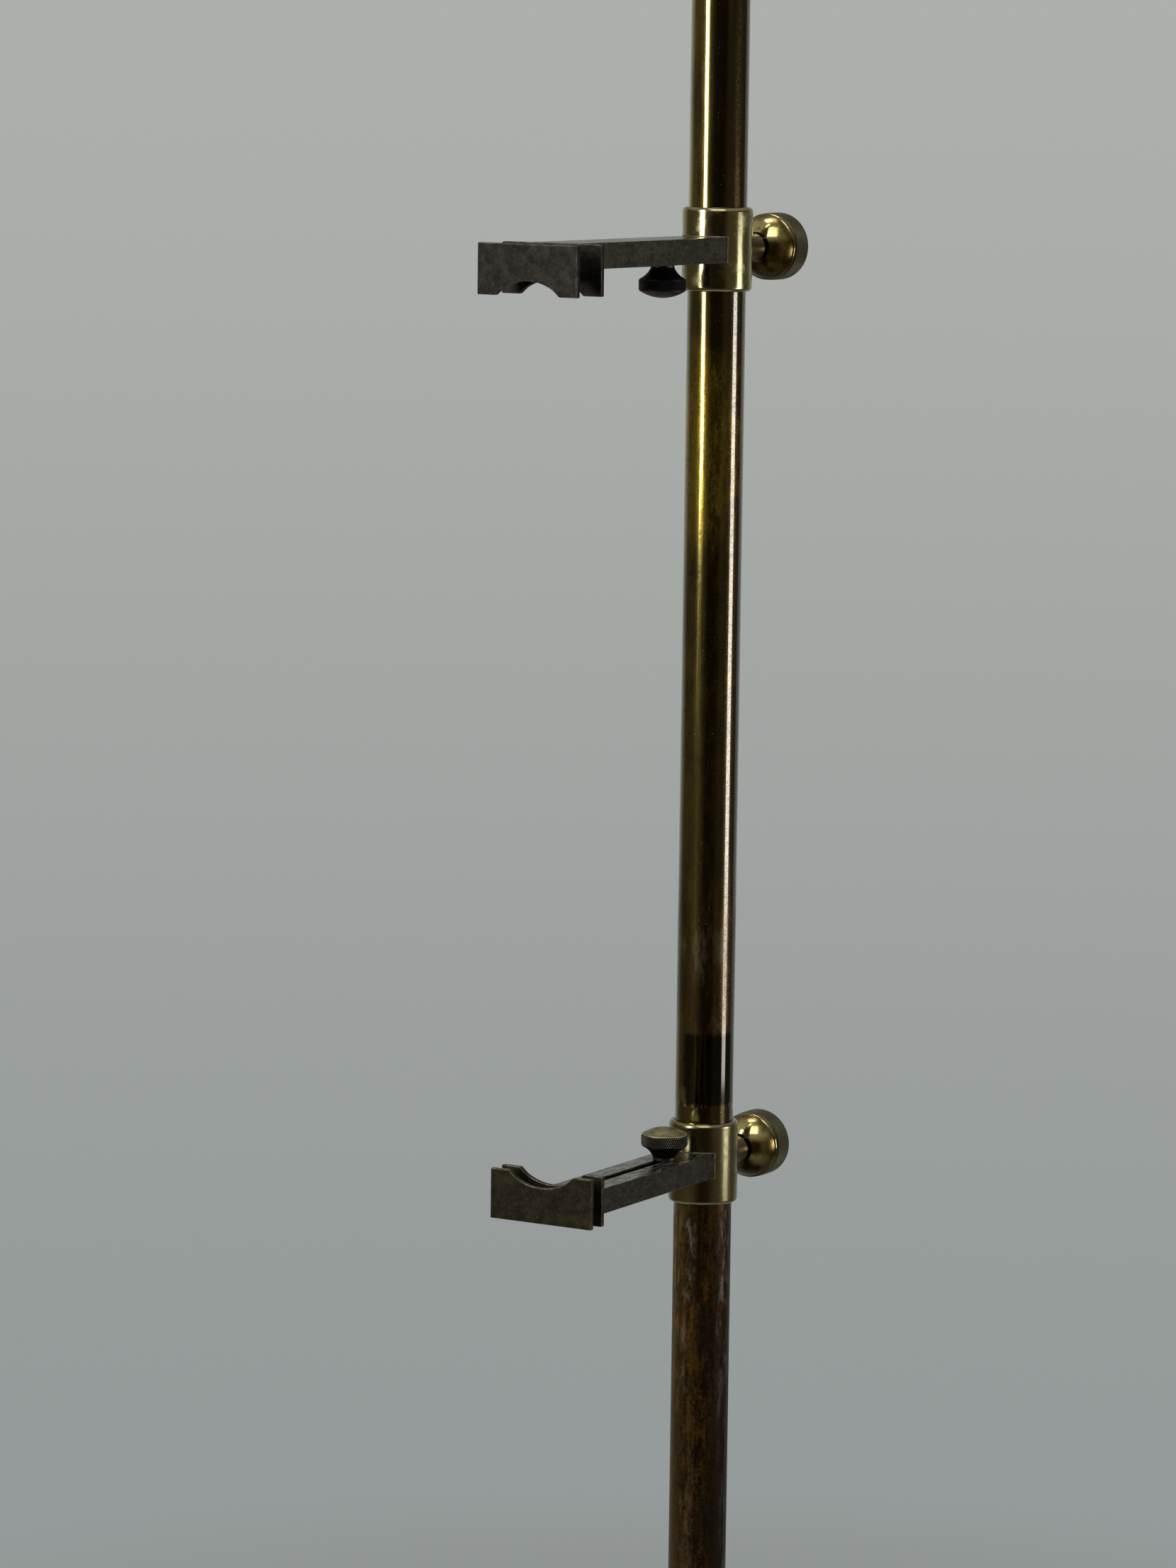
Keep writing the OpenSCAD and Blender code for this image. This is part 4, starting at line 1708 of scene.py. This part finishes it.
@dataclass
class Studio:
    """Camera, lamps, floor and surroundings.

    Attributes:
        image: Size of the picture in pixels.
        focal: Focal length in pixels.
        sensor: Width of the sensor in millimetres, across the picture's longer side.
        camera_at: Place of the camera, in metres.
        heading: Turn of the camera about Z from looking along +Y, in degrees.
        tilt: How far the camera looks down, in degrees.
        roll: Roll of the camera, in degrees.
        floor: Finish of the floor, with its radius.
        lamps: The lamps.
    """

    BACKDROP_LOW = (0.300, 0.325, 0.322)
    BACKDROP_HIGH = (0.420, 0.435, 0.412)
    ROOM = (0.078, 0.063, 0.034)
    CAMERA_SIDE = (0.016, 0.012, 0.006)
    CEILING = (0.30, 0.295, 0.265)
    FLOOR_RINGS = 6
    FLOOR_SEGMENTS = 96
    NEAREST = 0.01

    image: tuple[int, int] = (1659, 2212)
    focal: float = 8318.75
    sensor: float = 36.0
    camera_at: Triple = (0.9325, -1.6618, 0.5970)
    heading: float = 30.483
    tilt: float = 7.276
    roll: float = 0.740
    floor: PaleFloor = PaleFloor("pale_floor")
    lamps: tuple[Lamp, ...] = (
        Lamp(
            "left_window",
            bearing=-55.0,
            distance=1.10,
            height=0.880,
            width=0.28,
            tall=1.10,
            glow=9.0,
            aim=0.60,
            colour=(1.0, 0.98, 0.93),
            lean=9.0,
        ),
        Lamp(
            "right_window",
            bearing=79.0,
            distance=1.10,
            height=0.265,
            width=0.34,
            tall=0.41,
            glow=7.5,
            aim=0.30,
            colour=(0.97, 0.98, 1.0),
        ),
        Lamp(
            "top_panel_front",
            bearing=0.0,
            distance=0.75,
            height=1.55,
            width=0.80,
            tall=0.80,
            glow=2.4,
            aim=0.35,
            colour=(1.0, 0.98, 0.92),
        ),
        Lamp(
            "top_panel_back",
            bearing=187.0,
            distance=0.32,
            height=1.75,
            width=0.50,
            tall=0.36,
            glow=6.5,
            aim=0.40,
            colour=(1.0, 0.98, 0.92),
        ),
    )

    @property
    def towards_camera(self) -> Vector:
        """Level direction from the column towards the camera."""
        angle = math.radians(self.heading)
        return Vector((math.sin(angle), -math.cos(angle), 0.0))

    def build(self) -> None:
        """Sets up everything round the object."""
        self.place_camera()
        for lamp in self.lamps:
            self.hang(lamp)
        self.lay_floor()
        self.surround()
        bpy.context.scene.view_settings.view_transform = "Standard"

    def place_camera(self) -> None:
        """Puts the camera where the photograph was taken from."""
        data = bpy.data.cameras.new("photo_camera")
        data.sensor_width = self.sensor
        data.lens = self.sensor * self.focal / max(self.image)
        data.clip_start = self.NEAREST
        camera = bpy.data.objects.new("photo_camera", data)
        head = Matrix.Rotation(math.radians(self.heading), 4, "Z")
        nod = Matrix.Rotation(math.radians(90.0 - self.tilt), 4, "X")
        lean = Matrix.Rotation(math.radians(self.roll), 4, "Z")
        camera.matrix_world = Matrix.Translation(self.camera_at) @ head @ nod @ lean
        bpy.context.scene.collection.objects.link(camera)
        bpy.context.scene.camera = camera

    def hang(self, lamp: Lamp) -> None:
        """Hangs one lamp, facing the column.

        Args:
            lamp: The lamp.
        """
        data = bpy.data.lights.new(lamp.name, "AREA")
        data.shape = "RECTANGLE"
        data.size = lamp.width
        data.size_y = lamp.tall
        data.energy = lamp.glow * math.pi * lamp.width * lamp.tall
        data.color = lamp.colour
        made = bpy.data.objects.new(lamp.name, data)
        level = Matrix.Rotation(math.radians(lamp.bearing), 3, "Z") @ self.towards_camera
        spot = level * lamp.distance + Vector((0.0, 0.0, lamp.height))
        facing = (Vector((0.0, 0.0, lamp.aim)) - spot).to_track_quat("-Z", "Y")
        leaning = Matrix.Rotation(math.radians(lamp.lean), 4, "Z")
        made.matrix_world = Matrix.Translation(spot) @ facing.to_matrix().to_4x4() @ leaning
        made.visible_camera = False
        bpy.context.scene.collection.objects.link(made)

    def lay_floor(self) -> None:
        """Lays a plain pale round floor that fades out into the surroundings."""
        outline = Outline(0.0, 0.0).to(self.floor.faded, 0.0, self.FLOOR_RINGS)
        mesh = Workshop.turn(outline, self.FLOOR_SEGMENTS)
        floor = Workshop.piece("floor", mesh, Placement().matrix())
        floor.data.materials.append(self.floor.material())

    def surround(self) -> None:
        """Paints the surroundings: a pale backdrop, and a room that is dim on the camera's side."""
        world = bpy.data.worlds.new("surroundings")
        bpy.context.scene.world = world
        world.use_nodes = True
        graph = Graph(world.node_tree)
        way = graph.node("TexCoord", out="Generated")
        front = graph.along(way, tuple(self.towards_camera))
        rise = graph.axis(way, "Z")
        pale = graph.mix(self.BACKDROP_LOW, self.BACKDROP_HIGH, rise.above(-0.26, 0.03))
        room = graph.layers(
            self.ROOM,
            (self.CAMERA_SIDE, front.above(0.78, 0.97)),
            (self.CEILING, rise.above(0.20, 0.70)),
        )
        behind = (1.0 - front.above(-1.0, -0.35)) * (1.0 - rise.above(0.15, 0.55))
        camera, glossy, through = (
            graph.node("LightPath", out=f"Is {ray} Ray") for ray in ("Camera", "Glossy", "Transmission")
        )
        colour = graph.mix(room, pale, camera.largest(glossy.largest(through) * behind))
        shader = graph.node("Background", None, {"Color": colour, "Strength": 1.0})
        graph.node("OutputWorld", None, {"Surface": shader})


def clamps(frame: Mapping[str, Any]) -> Iterable[Clamp]:
    """Reads the two clamps' places from the frame.

    Args:
        frame: The loaded frame.

    Yields:
        The lower clamp and the upper one.
    """
    joints = {joint["name"]: joint for joint in frame["joints"]}
    for side in Side:
        low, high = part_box(f"{side.value}_collar")
        out = joints[f"{side.value}_jaw_slide"]["axis"]
        lock = Vector(joints[f"{side.value}_lock_turn"]["pos_m"])
        yield Clamp(
            nodes=frame["nodes"],
            side=side,
            place=Placement((low.z + high.z) / 2.0, math.atan2(out[0], -out[1]), side is Side.UPPER),
            lock_y=-lock.xy.length / MM,
            collar_radius=(high.x - low.x) / (2.0 * MM),
        )


def main() -> None:
    """Loads the frame, sets the studio and dresses the stand."""
    logging.basicConfig(level=logging.INFO, format="%(name)s: %(message)s")
    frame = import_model()
    Studio().build()
    Foot(frame["nodes"]).build()
    Column(frame["nodes"]).build()
    for clamp in clamps(frame):
        clamp.build()


if __name__ == "__main__":
    main()
